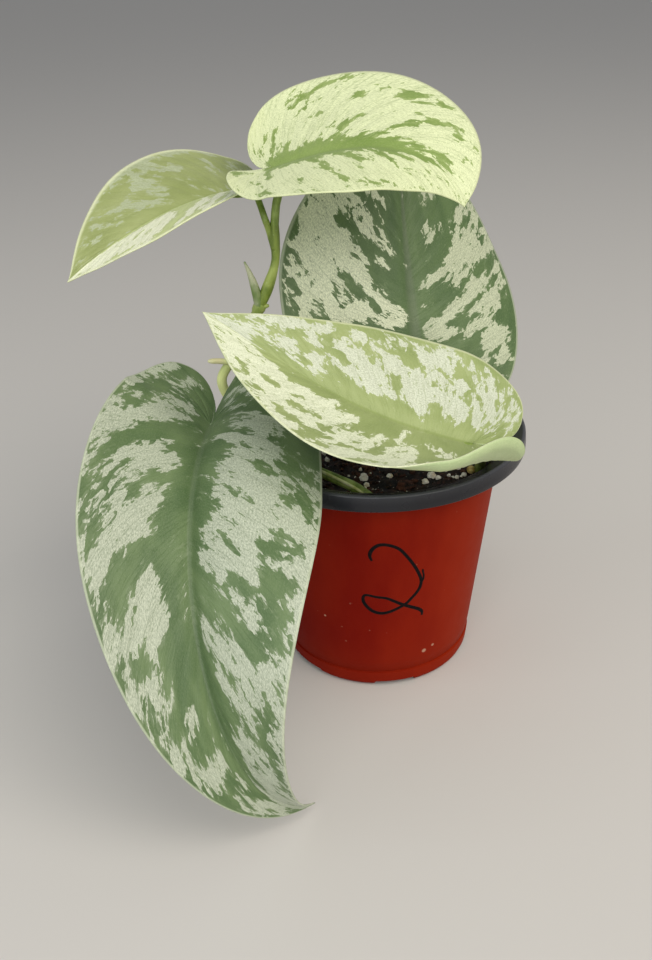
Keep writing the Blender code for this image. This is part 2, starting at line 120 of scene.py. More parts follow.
def tint(tree, share, low, high, most=1.0):
    """A colour between two others, either of which may come from another node; most limits the share."""
    if most < 1:
        share = sums(tree, "MULTIPLY", share, most)
    made = node(tree, "Mix", {"data_type": "RGBA"})
    for plug, value in ((made.inputs[0], share), (made.inputs[6], low), (made.inputs[7], high)):
        feed(tree, plug, (*value, 1.0) if isinstance(value, tuple) else value)
    return made.outputs[2]


def step(tree, value, low, high):
    """Nothing below low, everything above high, and a soft change between."""
    soft = {"interpolation_type": "SMOOTHSTEP"}
    return node(tree, "MapRange", soft, Value=value, From_Min=low, From_Max=high).outputs[0]


def own_place(tree):
    """The place on the piece, in metres from the middle of the pot's base."""
    return node(tree, "TexCoord").outputs["Object"]


def axis(tree, vector, k):
    """One part of a vector: 0 for x, 1 for y and 2 for z."""
    return node(tree, "SeparateXYZ", Vector=vector).outputs[k]


def grain(tree, scale, detail=4.0, vector=None, rough=0.5):
    """Fractal noise from 0 to 1, on the piece's own place unless a vector is given."""
    vector = vector or own_place(tree)
    return node(tree, "TexNoise", Vector=vector, Scale=scale, Detail=detail, Roughness=rough).outputs[0]


def dress(tree, shader, colour, height, strength, depth, rough=None):
    """Links a finish's colour and its relief, depth in mm; rough is a pattern, its range and its least."""
    tree.links.new(colour, shader.inputs["Base Color"])
    relief = node(tree, "Bump", Strength=strength, Distance=depth * MM, Height=height)
    tree.links.new(relief.outputs[0], shader.inputs["Normal"])
    if rough:
        tree.links.new(sums(tree, "MULTIPLY_ADD", *rough), shader.inputs["Roughness"])


def wall_radius(height):
    """The wall's straight taper from the base's corner to the lip."""
    share = (height - CORNER) / (LIP_BOTTOM - CORNER)
    return BASE_RADIUS + (WALL_TOP_RADIUS - BASE_RADIUS) * share


def wall_face(height):
    """The wall's outside above the foot, where it stands back a little from the taper low down."""
    return wall_radius(height) - SET_BACK * (1 - height / (80 * MM))


def rounding(radius, height, turn, first, last, steps):
    """Points on a rounded edge, between two angles in degrees."""
    angles = (math.radians(first + (last - first) * k / steps) for k in range(steps + 1))
    return [(radius + turn * math.cos(a), height + turn * math.sin(a)) for a in angles]


def turned(profile, turns):
    """A closed line of radius and height, spun round the pot's middle line."""
    bm = bmesh.new()
    ring = [bm.verts.new((radius, 0, height)) for radius, height in profile]
    line = [bm.edges.new((a, b)) for a, b in zip(ring, ring[1:] + ring[:1])]
    bmesh.ops.spin(
        bm, geom=ring + line, cent=(0, 0, 0), axis=(0, 0, 1), angle=2 * math.pi, steps=turns, use_merge=True
    )
    bmesh.ops.remove_doubles(bm, verts=bm.verts, dist=0.001 * MM)
    bmesh.ops.delete(bm, geom=[edge for edge in bm.edges if edge.is_wire], context="EDGES")
    bmesh.ops.recalc_face_normals(bm, faces=bm.faces)
    return bm


outside = [
    (0, 0.3 * MM), (14 * MM, 0.3 * MM), (16 * MM, 0),
    *rounding(BASE_RADIUS - CORNER, CORNER, CORNER, -90, 0, 8),
    (wall_radius(FOOT_HEIGHT - 0.5 * MM), FOOT_HEIGHT - 0.5 * MM),
    *[(wall_radius(FOOT_HEIGHT) - back * MM, FOOT_HEIGHT + up * MM) for back, up in FOOT_GROOVE],
    *[(wall_face(h * MM), h * MM) for h in range(12, 84, 6)],
    (wall_radius(LIP_BOTTOM + 1.2 * MM), LIP_BOTTOM + 1.2 * MM),
    (wall_radius(LIP_BOTTOM + 1.6 * MM) + 0.5 * MM, LIP_BOTTOM + 1.8 * MM),
]
lip = [
    (RIM_RADIUS - WALL - 1.0 * MM, POT_HEIGHT - 2.6 * MM),
    (RIM_RADIUS - WALL - 0.1 * MM, POT_HEIGHT - 3.1 * MM),
    (RIM_RADIUS - WALL, LIP_BOTTOM + 0.15 * MM),
    (RIM_RADIUS - WALL + 0.15 * MM, LIP_BOTTOM),
    *rounding(RIM_RADIUS - 0.35 * MM, LIP_BOTTOM + 0.35 * MM, 0.35 * MM, -90, 0, 3),
    (RIM_RADIUS, LIP_BOTTOM + 1.8 * MM),
    (RIM_RADIUS - 0.10 * MM, LIP_BOTTOM + 3.2 * MM),
    *rounding(RIM_RADIUS - 1.2 * MM, POT_HEIGHT - 1.0 * MM, 1.0 * MM, 5, 100, 7),
    (RIM_RADIUS - 2.0 * MM, POT_HEIGHT - 0.4 * MM),
    (RIM_RADIUS - 4.0 * MM, POT_HEIGHT - 1.15 * MM),
    (RIM_RADIUS - LIP_WIDTH, POT_HEIGHT - 2.0 * MM),
    (RIM_RADIUS - LIP_WIDTH - 0.7 * MM, POT_HEIGHT - 2.6 * MM),
    (RIM_RADIUS - LIP_WIDTH - 1.4 * MM, POT_HEIGHT - 3.9 * MM),
]
inside = [
    *[(wall_radius(h * MM) - WALL, h * MM) for h in (83, 70, 50, 30, 12, 4)],
    (BASE_RADIUS - CORNER, WALL),
    (0, WALL),
]
pot_body = turned(outside + lip + inside, POT_TURNS)
for face in pot_body.faces:
    centre = face.calc_center_median()
    out = centre.xy.length
    dark = centre.z > LIP_BOTTOM - 0.1 * MM and out > wall_radius(centre.z) + 0.2 * MM
    dark = dark or (centre.z > WALL * 0.9 and out < wall_radius(centre.z) - WALL * 0.6)
    face.material_index = int(dark)

terracotta, tree, shader = new_finish("terracotta_plastic", 0.55, Specular_IOR_Level=0.04)
place = own_place(tree)
drawn = node(tree, "Mapping", Vector=place, Scale=(1.0, 1.0, 0.4)).outputs[0]
cloudy = step(tree, grain(tree, 42, 5, drawn), 0.35, 0.7)
sheet = tint(tree, cloudy, (0.185, 0.0062, 0.0022), (0.250, 0.0140, 0.0034))
# Painted light and shade: the sheet is painted warmer low down and towards its right side, where warm light
# falls, and deeper towards its left, where the front leaf's shadow falls.
sheet = tint(tree, step(tree, axis(tree, place, 2), 26 * MM, 4 * MM), sheet, (0.27, 0.020, 0.005), 0.4)
sideways = axis(tree, place, 0)
sheet = tint(tree, step(tree, sideways, -8 * MM, -46 * MM), sheet, (0.085, 0.0018, 0.0010), 0.6)
sheet = tint(tree, step(tree, sideways, 6 * MM, 44 * MM), sheet, (0.350, 0.0280, 0.0040), 0.6)
scuff = sums(tree, "MULTIPLY", step(tree, grain(tree, 420, 2, rough=0.3), 0.785, 0.81), 0.25)
for x, z, size in SCUFF_MARKS:
    mark = (x * MM, -math.sqrt(wall_radius(z * MM) ** 2 - (x * MM) ** 2), z * MM)
    away = sums(tree, "DISTANCE", place, mark, kind="VectorMath", out=1)
    scuff = sums(tree, "MAXIMUM", scuff, step(tree, away, size * 1.3 * MM, size * 0.7 * MM))
# The scuffs lie over the sheet's painted light and shade.
scuffs_and_painted_light = tint(tree, scuff, sheet, (0.62, 0.40, 0.27), 0.6)
dents = sums(tree, "ADD", grain(tree, 1500, 3), sums(tree, "MULTIPLY", grain(tree, 90, 2, drawn), 3.0))
dress(tree, shader, scuffs_and_painted_light, dents, 0.35, 0.12, (grain(tree, 240, 3), 0.16, 0.46))

dark_layer, tree, shader = new_finish("dark_inner_layer", 0.36, Specular_IOR_Level=0.36)
clouds = tint(tree, grain(tree, 70, 4), (0.008, 0.008, 0.010), (0.016, 0.017, 0.024))
# Painted highlight: a pale bluish line is painted along the lip's rounded outer edge, where light catches it.
inward = sums(tree, "MULTIPLY", own_place(tree), (1, 1, 0), kind="VectorMath")
from_axis = sums(tree, "LENGTH", inward, kind="VectorMath", out=1)
painted_edge_highlight = step(tree, from_axis, RIM_RADIUS - 1.7 * MM, RIM_RADIUS - 0.8 * MM)
painted_edge_highlight = sums(tree, "MULTIPLY", painted_edge_highlight, step(tree, from_axis, RIM_RADIUS - 0.02 * MM, RIM_RADIUS - 0.5 * MM))
painted_edge_highlight = sums(tree, "MULTIPLY", painted_edge_highlight, sums(tree, "MULTIPLY_ADD", grain(tree, 160, 4), 0.5, 0.35))
lip_and_painted_highlight = tint(tree, painted_edge_highlight, clouds, (0.085, 0.088, 0.098))
dress(tree, shader, lip_and_painted_highlight, grain(tree, 700, 3), 0.3, 0.1, (grain(tree, 180, 3), 0.22, 0.18))

pot = keep("pot_shell", pot_body, "pot_plastic", "pot", terracotta, dark_layer)
cutters = []
for i in range(SLOTS):
    slot_cut = bmesh.new()
    bmesh.ops.create_cube(slot_cut, size=1)
    bmesh.ops.scale(slot_cut, vec=SLOT_SIZE, verts=slot_cut.verts)
    bmesh.ops.bevel(
        slot_cut, geom=slot_cut.edges[:], offset=SLOT_ROUNDING, segments=2, profile=0.5,
        affect="EDGES", material=-1,
    )
    bmesh.ops.translate(slot_cut, vec=(SLOT_FROM_MIDDLE, 0, 0), verts=slot_cut.verts)
    turn = Matrix.Rotation(2 * math.pi * (i + 0.5) / SLOTS - math.pi / 2 - math.radians(SLOT_TURN), 3, "Z")
    bmesh.ops.rotate(slot_cut, matrix=turn, cent=(0, 0, 0), verts=slot_cut.verts)
    cutter_mesh = bpy.data.meshes.new(f"slot_{i}")
    slot_cut.to_mesh(cutter_mesh)
    slot_cut.free()
    cutter = bpy.data.objects.new(f"slot_{i}", cutter_mesh)
    bpy.context.scene.collection.objects.link(cutter)
    cutters.append(cutter)
    cut = pot.modifiers.new(f"slot_{i}", "BOOLEAN")
    cut.operation = "DIFFERENCE"
    cut.solver = "EXACT"
    cut.object = cutter
cut_mesh = bpy.data.meshes.new_from_object(pot.evaluated_get(bpy.context.evaluated_depsgraph_get()))
pot.modifiers.clear()
pot.data = cut_mesh
pot.data.set_sharp_from_angle(angle=math.radians(38))
for cutter in cutters:
    bpy.data.objects.remove(cutter, do_unlink=True)


# The number on the pot is a 2, drawn by hand with a black fibre-tip pen. The ink lies on the wall as a thin
# film: one long looped stroke, and a short touch where the pen came back.
NUMERAL = [
    [(-3.9, 59.3), (-4.6, 61.6), (-3.9, 64.0), (-2.1, 65.8), (0.1, 66.2), (2.9, 65.4), (5.5, 63.7),
     (7.9, 60.5), (10.2, 56.7), (12.1, 52.8), (13.4, 49.0), (13.2, 46.0), (12.0, 43.6), (10.0, 41.2),
     (8.0, 39.1), (5.2, 37.5), (2.1, 36.1), (-0.6, 35.7), (-3.3, 36.6), (-5.5, 38.7), (-6.8, 41.2),
     (-6.7, 43.4), (-5.5, 44.0), (-2.2, 43.2), (1.3, 42.5), (4.0, 40.9), (6.8, 39.1), (10.1, 37.2),
     (12.9, 35.5), (14.2, 34.0), (14.3, 32.2)],
    [(13.8, 53.5), (14.3, 50.7), (14.2, 49.0), (13.4, 47.4)],
]
PEN_WIDTHS = (1.22 * MM, 0.7 * MM)
INK_SWELL = 0.06 * MM
INK_THICKNESS = 0.15 * MM


def smooth_route(points, steps):
    """Points on a smooth curve through the given ones."""
    ends = [points[0], *points, points[-1]]
    route = []
    for i in range(len(points) - 1):
        a, b, c, d = (np.array(ends[i + k], float) for k in range(4))
        for s in range(steps):
            t = s / steps
            turn = 2 * a - 5 * b + 4 * c - d + t * (3 * b - a - 3 * c + d)
            route.append(b + 0.5 * t * (c - a + t * turn))
    route.append(np.array(points[-1], float))
    return route


ink_film = bmesh.new()
for line, width in zip(NUMERAL, PEN_WIDTHS):
    stroke = smooth_route(line, 5)
    film = bmesh.ops.create_grid(ink_film, x_segments=len(stroke) - 1, y_segments=4, size=1)["verts"]
    for vert in film:
        k = round((vert.co.x + 1) / 2 * (len(stroke) - 1))
        heading = stroke[min(k + 1, len(stroke) - 1)] - stroke[max(k - 1, 0)]
        side = np.array((-heading[1], heading[0])) / np.linalg.norm(heading)
        share = k / (len(stroke) - 1)
        taper = min(1.0, 0.6 + 9 * share, 0.6 + 9 * (1 - share))
        pressed = 1.0 + 0.35 * noise.noise(Vector((share * 6, 0, 3)))
        x, z = stroke[k] * MM + side * vert.co.y * width / 2 * taper * pressed
        reach = wall_face(z) + 0.01 * MM + INK_SWELL * (1 - vert.co.y ** 2)
        angle = x / wall_radius(z)
        vert.co = (reach * math.sin(angle), -reach * math.cos(angle), z)
bmesh.ops.solidify(ink_film, geom=ink_film.faces[:], thickness=INK_THICKNESS)
bmesh.ops.recalc_face_normals(ink_film, faces=ink_film.faces)
ink, tree, shader = new_finish("pen_ink", 0.6, Specular_IOR_Level=0.1)
faded = tint(tree, step(tree, grain(tree, 900, 3), 0.45, 0.8), (0.003, 0.0025, 0.003), (0.014, 0.006, 0.005))
tree.links.new(faded, shader.inputs["Base Color"])
keep("pot_number", ink_film, "pot_plastic", None, ink)


# The potting mix is chopped bark, peat and perlite, packed by hand to a finger's width below the lip. Its
# body is one rough-topped plug, dark brown where damp, with crumbs of bark loose on top.
SOIL_LEVEL = 76.5 * MM
SOIL_GAP = 1.5 * MM
SOIL_RINGS = 54
SOIL_TURNS = 150
BARK_CRUMBS = 620
SEED = 11


def soil_height(x, y):
    """The same lie as the solid's: coarse and fine crumbs."""
    crumbs = noise.noise(Vector((x, y, 0)) / (6 * MM)) + 0.5 * noise.noise(Vector((x, y, 9)) / (2.6 * MM))
    return SOIL_LEVEL + 1.0 * MM * crumbs


soil_top = wall_radius(SOIL_LEVEL) - SOIL_GAP
soil_plug = turned(
    [(0, SOIL_GAP), (BASE_RADIUS - CORNER - SOIL_GAP, SOIL_GAP)]
    + [(wall_radius(h * MM) - SOIL_GAP, h * MM) for h in (5, 30, 60, 72)]
    + [(soil_top * k / SOIL_RINGS, SOIL_LEVEL) for k in range(SOIL_RINGS, -1, -1)],
    SOIL_TURNS,
)
for vert in soil_plug.verts:
    if vert.co.z > SOIL_LEVEL - MM and vert.co.xy.length < soil_top * 0.995:
        x, y = vert.co.xy
        fine = noise.noise(Vector((x, y, 2)) / (1.3 * MM)) + 0.6 * noise.noise(Vector((x, y, 5)) / (0.6 * MM))
        vert.co.z = soil_height(x, y) + 0.45 * MM * fine

potting_mix, tree, shader = new_finish("potting_mix", 0.85, Specular_IOR_Level=0.35)
clods = step(tree, grain(tree, 420, 6), 0.42, 0.62)
peat = tint(tree, clods, (0.0035, 0.0022, 0.0018), (0.028, 0.012, 0.007))
rusty = tint(tree, step(tree, grain(tree, 230, 5), 0.58, 0.72), peat, (0.080, 0.028, 0.015))
fleck = step(tree, grain(tree, 1500, 2, rough=0.3), 0.715, 0.76)
damp = tint(tree, fleck, rusty, (0.42, 0.38, 0.32))
dress(tree, shader, damp, grain(tree, 1300, 6, rough=0.65), 0.9, 0.5, (grain(tree, 500, 3), 0.5, 0.5))
keep("potting_mix_plug", soil_plug, "potting_mix", "soil", potting_mix)


def crumb(bm, x, y, radius, flat, tilt, turn, rough, level, lift=0.25):
    """Adds one grain, squeezed by flat and broken by rough, and gives its vertices; lift is in radii."""
    made = bmesh.ops.create_icosphere(bm, subdivisions=level, radius=radius)["verts"]
    for vert in made:
        vert.co *= 1 + rough * noise.noise(vert.co / radius * 1.6 + Vector((x, y, radius)) / MM)
        vert.co.z *= flat
    lie = Matrix.Rotation(turn, 3, "Z") @ Matrix.Rotation(tilt, 3, "X")
    bmesh.ops.rotate(bm, matrix=lie, cent=(0, 0, 0), verts=made)
    bmesh.ops.translate(bm, vec=(x, y, soil_height(x, y) + lift * radius), verts=made)
    return made


draw = random.Random(SEED)


def scattered(reach):
    """A random place on the mix, as likely anywhere within reach of the middle."""
    far = soil_top * reach * math.sqrt(draw.random())
    around = draw.uniform(0, 2 * math.pi)
    return far * math.cos(around), far * math.sin(around)


bark_bits = bmesh.new()
for _ in range(BARK_CRUMBS):
    x, y = scattered(0.97)
    size = draw.uniform(0.35, 1.35) ** 1.5 * MM
    made = crumb(bark_bits, x, y, size, draw.uniform(0.35, 0.8), draw.uniform(-0.7, 0.7),
                 draw.uniform(0, 6.28), 0.5, 1)
    bmesh.ops.scale(bark_bits, vec=(draw.uniform(0.7, 1.5), 1, 1), verts=made,
                    space=Matrix.Translation(-sum((v.co for v in made), Vector()) / len(made)))
BARK = [(9.0, -21.5, 3.2), (25.0, -4.0, 3.0), (-20.0, -13.0, 2.8), (-24.0, 28.0, 3.4), (17.0, 33.0, 3.2),
        (35.0, 17.0, 2.6), (0.0, 22.0, 3.0), (-33.0, 13.0, 2.6)]
for i, (x, y, radius) in enumerate(BARK):
    crumb(bark_bits, x * MM, y * MM, radius * MM, 0.42, 0.15 * math.sin(i), 2.1 * i, 0.55, 3, lift=0.12)

bark, tree, shader = new_finish("bark_crumbs", 0.8, Specular_IOR_Level=0.3)
shade = tint(tree, step(tree, grain(tree, 260, 5), 0.4, 0.62), (0.006, 0.0035, 0.0025), (0.095, 0.034, 0.018))
split = grain(tree, 1700, 4, node(tree, "Mapping", Vector=own_place(tree), Scale=(1, 0.2, 1)).outputs[0])
fibres = tint(tree, step(tree, split, 0.55, 0.75), shade, (0.21, 0.10, 0.060))
dress(tree, shader, fibres, split, 0.8, 0.3)
keep("bark_crumbs", bark_bits, "potting_mix", "soil", bark)


# Perlite is puffed volcanic glass, mixed in to keep the peat open. Its grains are pale, round and pitted,
# some half buried and stained by the peat.
PERLITE = [(-5.2, -16.0, 1.6), (-4.4, -20.3, 1.0), (3.9, -14.2, 1.1), (18.4, -15.6, 1.5), (15.8, -19.2, 1.2),
           (20.6, -16.6, 1.0), (28.3, -10.8, 0.9), (29.8, -14.7, 0.9), (26.9, -16.8, 0.8), (-18.7, 4.0, 1.0),
           (-17.6, -0.6, 0.9), (31.5, 8.0, 1.5), (8.0, 27.0, 1.6), (-12.0, 31.0, 1.5), (-26.0, 18.0, 1.5),
           (24.5, 24.0, 1.3), (-7.0, 12.0, 1.5)]
SMALL_PERLITE = 90

perlite_grains = bmesh.new()
for i, (x, y, radius) in enumerate(PERLITE):
    crumb(perlite_grains, x * MM, y * MM, radius * MM, 0.9, 0.3 * math.cos(i), i, 0.26, 4, lift=0.4)
for _ in range(SMALL_PERLITE):
    x, y = scattered(0.95)
    crumb(perlite_grains, x, y, draw.uniform(0.2, 0.7) * MM, 0.88, draw.uniform(-0.6, 0.6),
          draw.uniform(0, 6.28), 0.36, 3, lift=0.4)

perlite, tree, shader = new_finish("perlite", 0.9, Specular_IOR_Level=0.3)
stain = tint(tree, step(tree, grain(tree, 380, 4), 0.46, 0.70), (1.00, 0.95, 0.85), (0.80, 0.66, 0.47))
pits = grain(tree, 2600, 4, rough=0.6)
dress(tree, shader, tint(tree, step(tree, pits, 0.66, 0.74), stain, (0.40, 0.31, 0.22)), pits, 0.8, 0.25)
keep("perlite_grains", perlite_grains, "potting_mix", "soil", perlite)


# One bead of slow plant food lies among the grains at the right. It is a smooth yellow ball of salts in a
# thin coat, sunk a little into the mix.
food_bead = bmesh.new()
crumb(food_bead, 32.4 * MM, -13.2 * MM, 1.5 * MM, 0.95, 0.2, 0.5, 0.06, 4, lift=0.6)

bead_coat, tree, shader = new_finish("bead_coat", 0.4, Specular_IOR_Level=0.5)
coat = tint(tree, step(tree, grain(tree, 500, 3), 0.4, 0.7), (0.55, 0.38, 0.10), (0.78, 0.62, 0.24))
tree.links.new(coat, shader.inputs["Base Color"])
keep("food_bead", food_bead, "potting_mix", "soil", bead_coat)


# The vine is the young climbing stem. It leans out of the pot over the lip, then climbs past a swollen node
# with a ring, a dried sheath and a stub of aerial root, and forks into the stalks of the two top leaves.
VINE_ROUTE = [(-33.0, 2.0, 62.0, 1.7), (-34.5, 2.0, 74.0, 1.7), (-41.0, 1.5, 88.0, 1.7),
              (-49.5, 0.6, 99.0, 1.7), (-53.2, 0.0, 108.5, 1.7), (-48.6, 0.0, 117.0, 1.6),
              (-42.8, 0.0, 127.0, 1.6), (-38.8, 0.0, 134.3, 1.7), (-35.4, 0.0, 141.5, 1.9),
              (-32.6, 0.0, 149.7, 1.35), (-32.3, 0.0, 157.0, 1.6), (-32.2, 0.0, 162.4, 1.4)]
FORK_ARM = [(-32.6, -0.3, 154.0, 1.2), (-33.8, -0.3, 159.5, 1.15), (-34.9, -0.3, 163.3, 1.1)]
NODE_RING = [(-39.9, 0.0, 132.2, 1.55), (-39.4, 0.0, 133.2, 2.0), (-38.7, 0.0, 134.5, 2.2),
             (-38.2, 0.0, 135.4, 1.95), (-37.7, 0.0, 136.5, 1.5)]
SHEATH = [(-38.6, -0.4, 135.0, 1.55), (-39.6, -0.6, 141.0, 1.45), (-41.0, -0.6, 146.0, 0.9),
          (-42.6, -0.4, 150.2, 0.3)]
NODE_BUD = [(-37.6, -0.4, 134.8, 0.9), (-36.4, -0.6, 135.1, 0.8), (-35.4, -0.7, 135.2, 0.4)]
AERIAL_ROOT = [(-49.6, -0.6, 115.4, 1.1), (-53.0, -1.4, 116.3, 1.0), (-56.0, -1.9, 116.6, 0.85),
               (-57.2, -2.0, 116.6, 0.3)]


def stalk(points, sides=18, steps=6, ridges=0.0):
    """A round stem through places and radii in mm, closed at its ends; ridges are faint lengthwise ribs."""
    route = smooth_route(points, steps)
    bm = bmesh.new()
    side = None
    rings = []
    for i, (*place, radius) in enumerate(route):
        ahead = Vector(route[min(i + 1, len(route) - 1)][:3]) - Vector(route[max(i - 1, 0)][:3])
        ahead.normalize()
        side = ahead.orthogonal() if side is None else side - ahead * side.dot(ahead)
        side.normalize()
        frame_turn = Matrix((side, ahead.cross(side), ahead)).transposed().to_4x4()
        centre = Matrix.Translation(Vector(place) * MM)
        ring = bmesh.ops.create_circle(bm, segments=sides, radius=1, matrix=Matrix.Identity(4))["verts"]
        for k, vert in enumerate(ring):
            lump = 1 + 0.04 * noise.noise(Vector((place[2] * 0.5, k * 0.4, i * 0.21)))
            vert.co = vert.co * radius * MM * lump * (1 + ridges * math.cos(k * math.pi))
            vert.co = centre @ frame_turn @ vert.co
        rings.append(list({edge for vert in ring for edge in vert.link_edges}))
    for lower, upper in zip(rings, rings[1:]):
        bmesh.ops.bridge_loops(bm, edges=lower + upper)
    for end in (rings[0], rings[-1]):
        bmesh.ops.contextual_create(bm, geom=end)
    bmesh.ops.recalc_face_normals(bm, faces=bm.faces)
    return bm


def stem_skin(name, shadow, light, blush, spots=0.25, painted_foot_light=None):
    """Smooth green rind with fine lengthwise streaks and small pale corky spots; the last colour, if given,
    is painted light that pales its foot.
    """
    finish, tree, shader = new_finish(name, 0.42, Specular_IOR_Level=0.45)
    place = own_place(tree)
    long = node(tree, "Mapping", Vector=place, Scale=(1, 1, 0.16)).outputs[0]
    rind = tint(tree, step(tree, grain(tree, 520, 4, long), 0.35, 0.68), shadow, light)
    rind = tint(tree, step(tree, grain(tree, 120, 2), 0.48, 0.70), rind, blush)
    if painted_foot_light:
        # Painted light: the rind is painted paler low down, at the vine's foot.
        rind = tint(tree, step(tree, axis(tree, place, 2), 122 * MM, 108 * MM), rind, painted_foot_light)
    cork = step(tree, grain(tree, 1500, 2, rough=0.3), 0.68, 0.74)
    rind = tint(tree, cork, rind, (0.62, 0.66, 0.42), spots)
    dress(tree, shader, rind, grain(tree, 1100, 4, long), 0.4, 0.15, (grain(tree, 300, 3), 0.2, 0.32))
    return finish


# The vine's pale foot colour is painted light.
vine_rind = stem_skin(
    "vine_rind", (0.13, 0.19, 0.025), (0.26, 0.34, 0.06), (0.40, 0.48, 0.12), painted_foot_light=(0.72, 0.79, 0.32),
)
node_rind = stem_skin("node_rind", (0.20, 0.28, 0.05), (0.36, 0.44, 0.11), (0.48, 0.52, 0.20))
dry_rind = stem_skin("dry_sheath", (0.12, 0.20, 0.045), (0.26, 0.35, 0.11), (0.50, 0.52, 0.34), 0.4)
root_rind = stem_skin("root_rind", (0.60, 0.64, 0.26), (0.78, 0.78, 0.46), (0.70, 0.64, 0.36), 0.3)
for name, stem, rind in (
    ("vine_stem", stalk(VINE_ROUTE, 24, 8), vine_rind), ("vine_fork", stalk(FORK_ARM), vine_rind),
    ("vine_node", stalk(NODE_RING, 24), node_rind), ("vine_bud", stalk(NODE_BUD), node_rind),
    ("vine_sheath", stalk(SHEATH, 20, 8, 0.05), dry_rind), ("aerial_root", stalk(AERIAL_ROOT), root_rind),
):
    keep(name, stem, "vine_green", "vine", rind)


# Every leaf is a thin heart-shaped blade on a round stalk. Its side veins arch from the midrib to the
# margin, and air under the skin between them makes the silver patches, so their edges run with the veins.
# The front leaf is the oldest: dark green, it bends over the lip and hangs almost to the ground.
BLADE_ALONG = 170
BLADE_ACROSS = 84
BLADE_THICKNESS = 0.42 * MM
RIB_STEPS = 96
LOBE_STEPS = 24
LOBE_TURN_U = 0.12
SHOULDER_U = 0.42
LOBE_WIDTH = 0.45
ROUND = 0.5523
VEIN_START_U = 0.26
LAST_VEIN = 0.86
VEIN_ARCH = 0.16
LOBE_FOLD_END = 14.0
LOBE_FOLD_STRETCH = 26.0
ROLL_FROM = 0.88
ROLL_END = 31.8
ROLL_STRETCH = 19.1
SIDE_VEINS = 22
RIB_DEPTH = 0.55
RIB_CHANNEL = 2.4
QUILT = 0.20
# The raised midrib under a blade: its place along the blade, its radius as a share of the stalk's, and its
# depth below the face in mm.
RIB_TAPER = ((0.0, 0.9, 0.4), (0.05, 0.8, 0.85), (0.12, 0.66, 0.85), (0.3, 0.5, 0.78), (0.5, 0.36, 0.72),
             (0.7, 0.25, 0.66), (0.88, 0.13, 0.5))
# A patch of silver is a stroke (u, v, u, v, width, level) in these parts of a whole. Level 1 is full silver.
STROKE_UNITS = (1000, 100, 1000, 100, 1000, 100)
VEIN_REACH = 0.24
SOFT_EDGE = 0.016
SILVER_FROM = 0.10


def bezier(a, b, c, d, t):
    """Points on the curve from a to d that b and c pull on."""
    s = 1 - t[:, None]
    t = t[:, None]
    return a * s ** 3 + 3 * b * s * s * t + 3 * c * s * t * t + d * t ** 3


def margin_places(leaf, side, u):
    """Flat outline of one half in mm, from the notch at u = 0, round the lobe, to the tip at u = 1."""
    length, widest = leaf["length"], leaf["widest"]
    half, lobe = leaf["halves"][side], leaf["lobes"][side]
    back_width, ahead = LOBE_WIDTH * half, length - widest
    back, wide, tip = np.array((-lobe, back_width)), np.array((widest, half)), np.array((length, 0.0))
    round_lobe = bezier(
        np.zeros(2), np.array((-0.45 * lobe, 0.02 * half)),
        np.array((-lobe, 0.6 * (1 - ROUND) * back_width)), back, np.clip(u / LOBE_TURN_U, 0, 1),
    )
    shoulder = bezier(
        back, np.array((-lobe, back_width + ROUND * (half - back_width))),
        np.array((widest - ROUND * (widest + lobe), half)), wide,
        np.clip((u - LOBE_TURN_U) / (SHOULDER_U - LOBE_TURN_U), 0, 1),
    )
    flank = bezier(
        wide, np.array((widest + leaf["fullness"] * ahead, half)),
        np.array((length - leaf["slimness"] * ahead, 0.05 * half)), tip,
        np.clip((u - SHOULDER_U) / (1 - SHOULDER_U), 0, 1),
    )
    ahead_of_lobe = np.where((u <= SHOULDER_U)[:, None], shoulder, flank)
    return np.where((u <= LOBE_TURN_U)[:, None], round_lobe, ahead_of_lobe)


def flat_places(leaf, u, v):
    """Flat places in mm: u picks the side vein, v runs along it from the midrib to a margin at 1 or -1."""
    edge = np.where((v >= 0)[:, None], margin_places(leaf, 1, u), margin_places(leaf, 0, u))
    t = np.abs(v)
    root = LAST_VEIN * leaf["length"] * np.maximum(0, (u - VEIN_START_U) / (1 - VEIN_START_U)) ** 1.5
    bow = VEIN_ARCH * (1 - u ** 3)
    arch_x = (root + edge[:, 0]) / 2 - bow * edge[:, 1]
    arch_y = edge[:, 1] / 2 + bow * (edge[:, 0] - root)
    x = root * (1 - t) ** 2 + arch_x * 2 * t * (1 - t) + edge[:, 0] * t * t
    y = arch_y * 2 * t * (1 - t) + edge[:, 1] * t * t
    return x, np.copysign(y, v)


def walk_rib(start, pace, steps, rates):
    """Steps along the midrib; rates gives its bend, its sickle curve and its twist in degrees."""
    place, along, up = (item.copy() for item in start)
    stops = [(place.copy(), along.copy(), up.copy())]
    for i in range(steps):
        bend, sickle, twist = (math.radians(rate) / steps for rate in rates((i + 0.5) / steps))
        before = along.copy()
        fold = Matrix.Rotation(-bend, 3, along.cross(up))
        along, up = fold @ along, fold @ up
        along = Matrix.Rotation(-sickle, 3, up) @ along
        up = Matrix.Rotation(twist, 3, along) @ up
        up = (up - along * up.dot(along)).normalized()
        place += (along + before).normalized() * pace
        stops.append((place.copy(), along.copy(), up.copy()))
    return stops


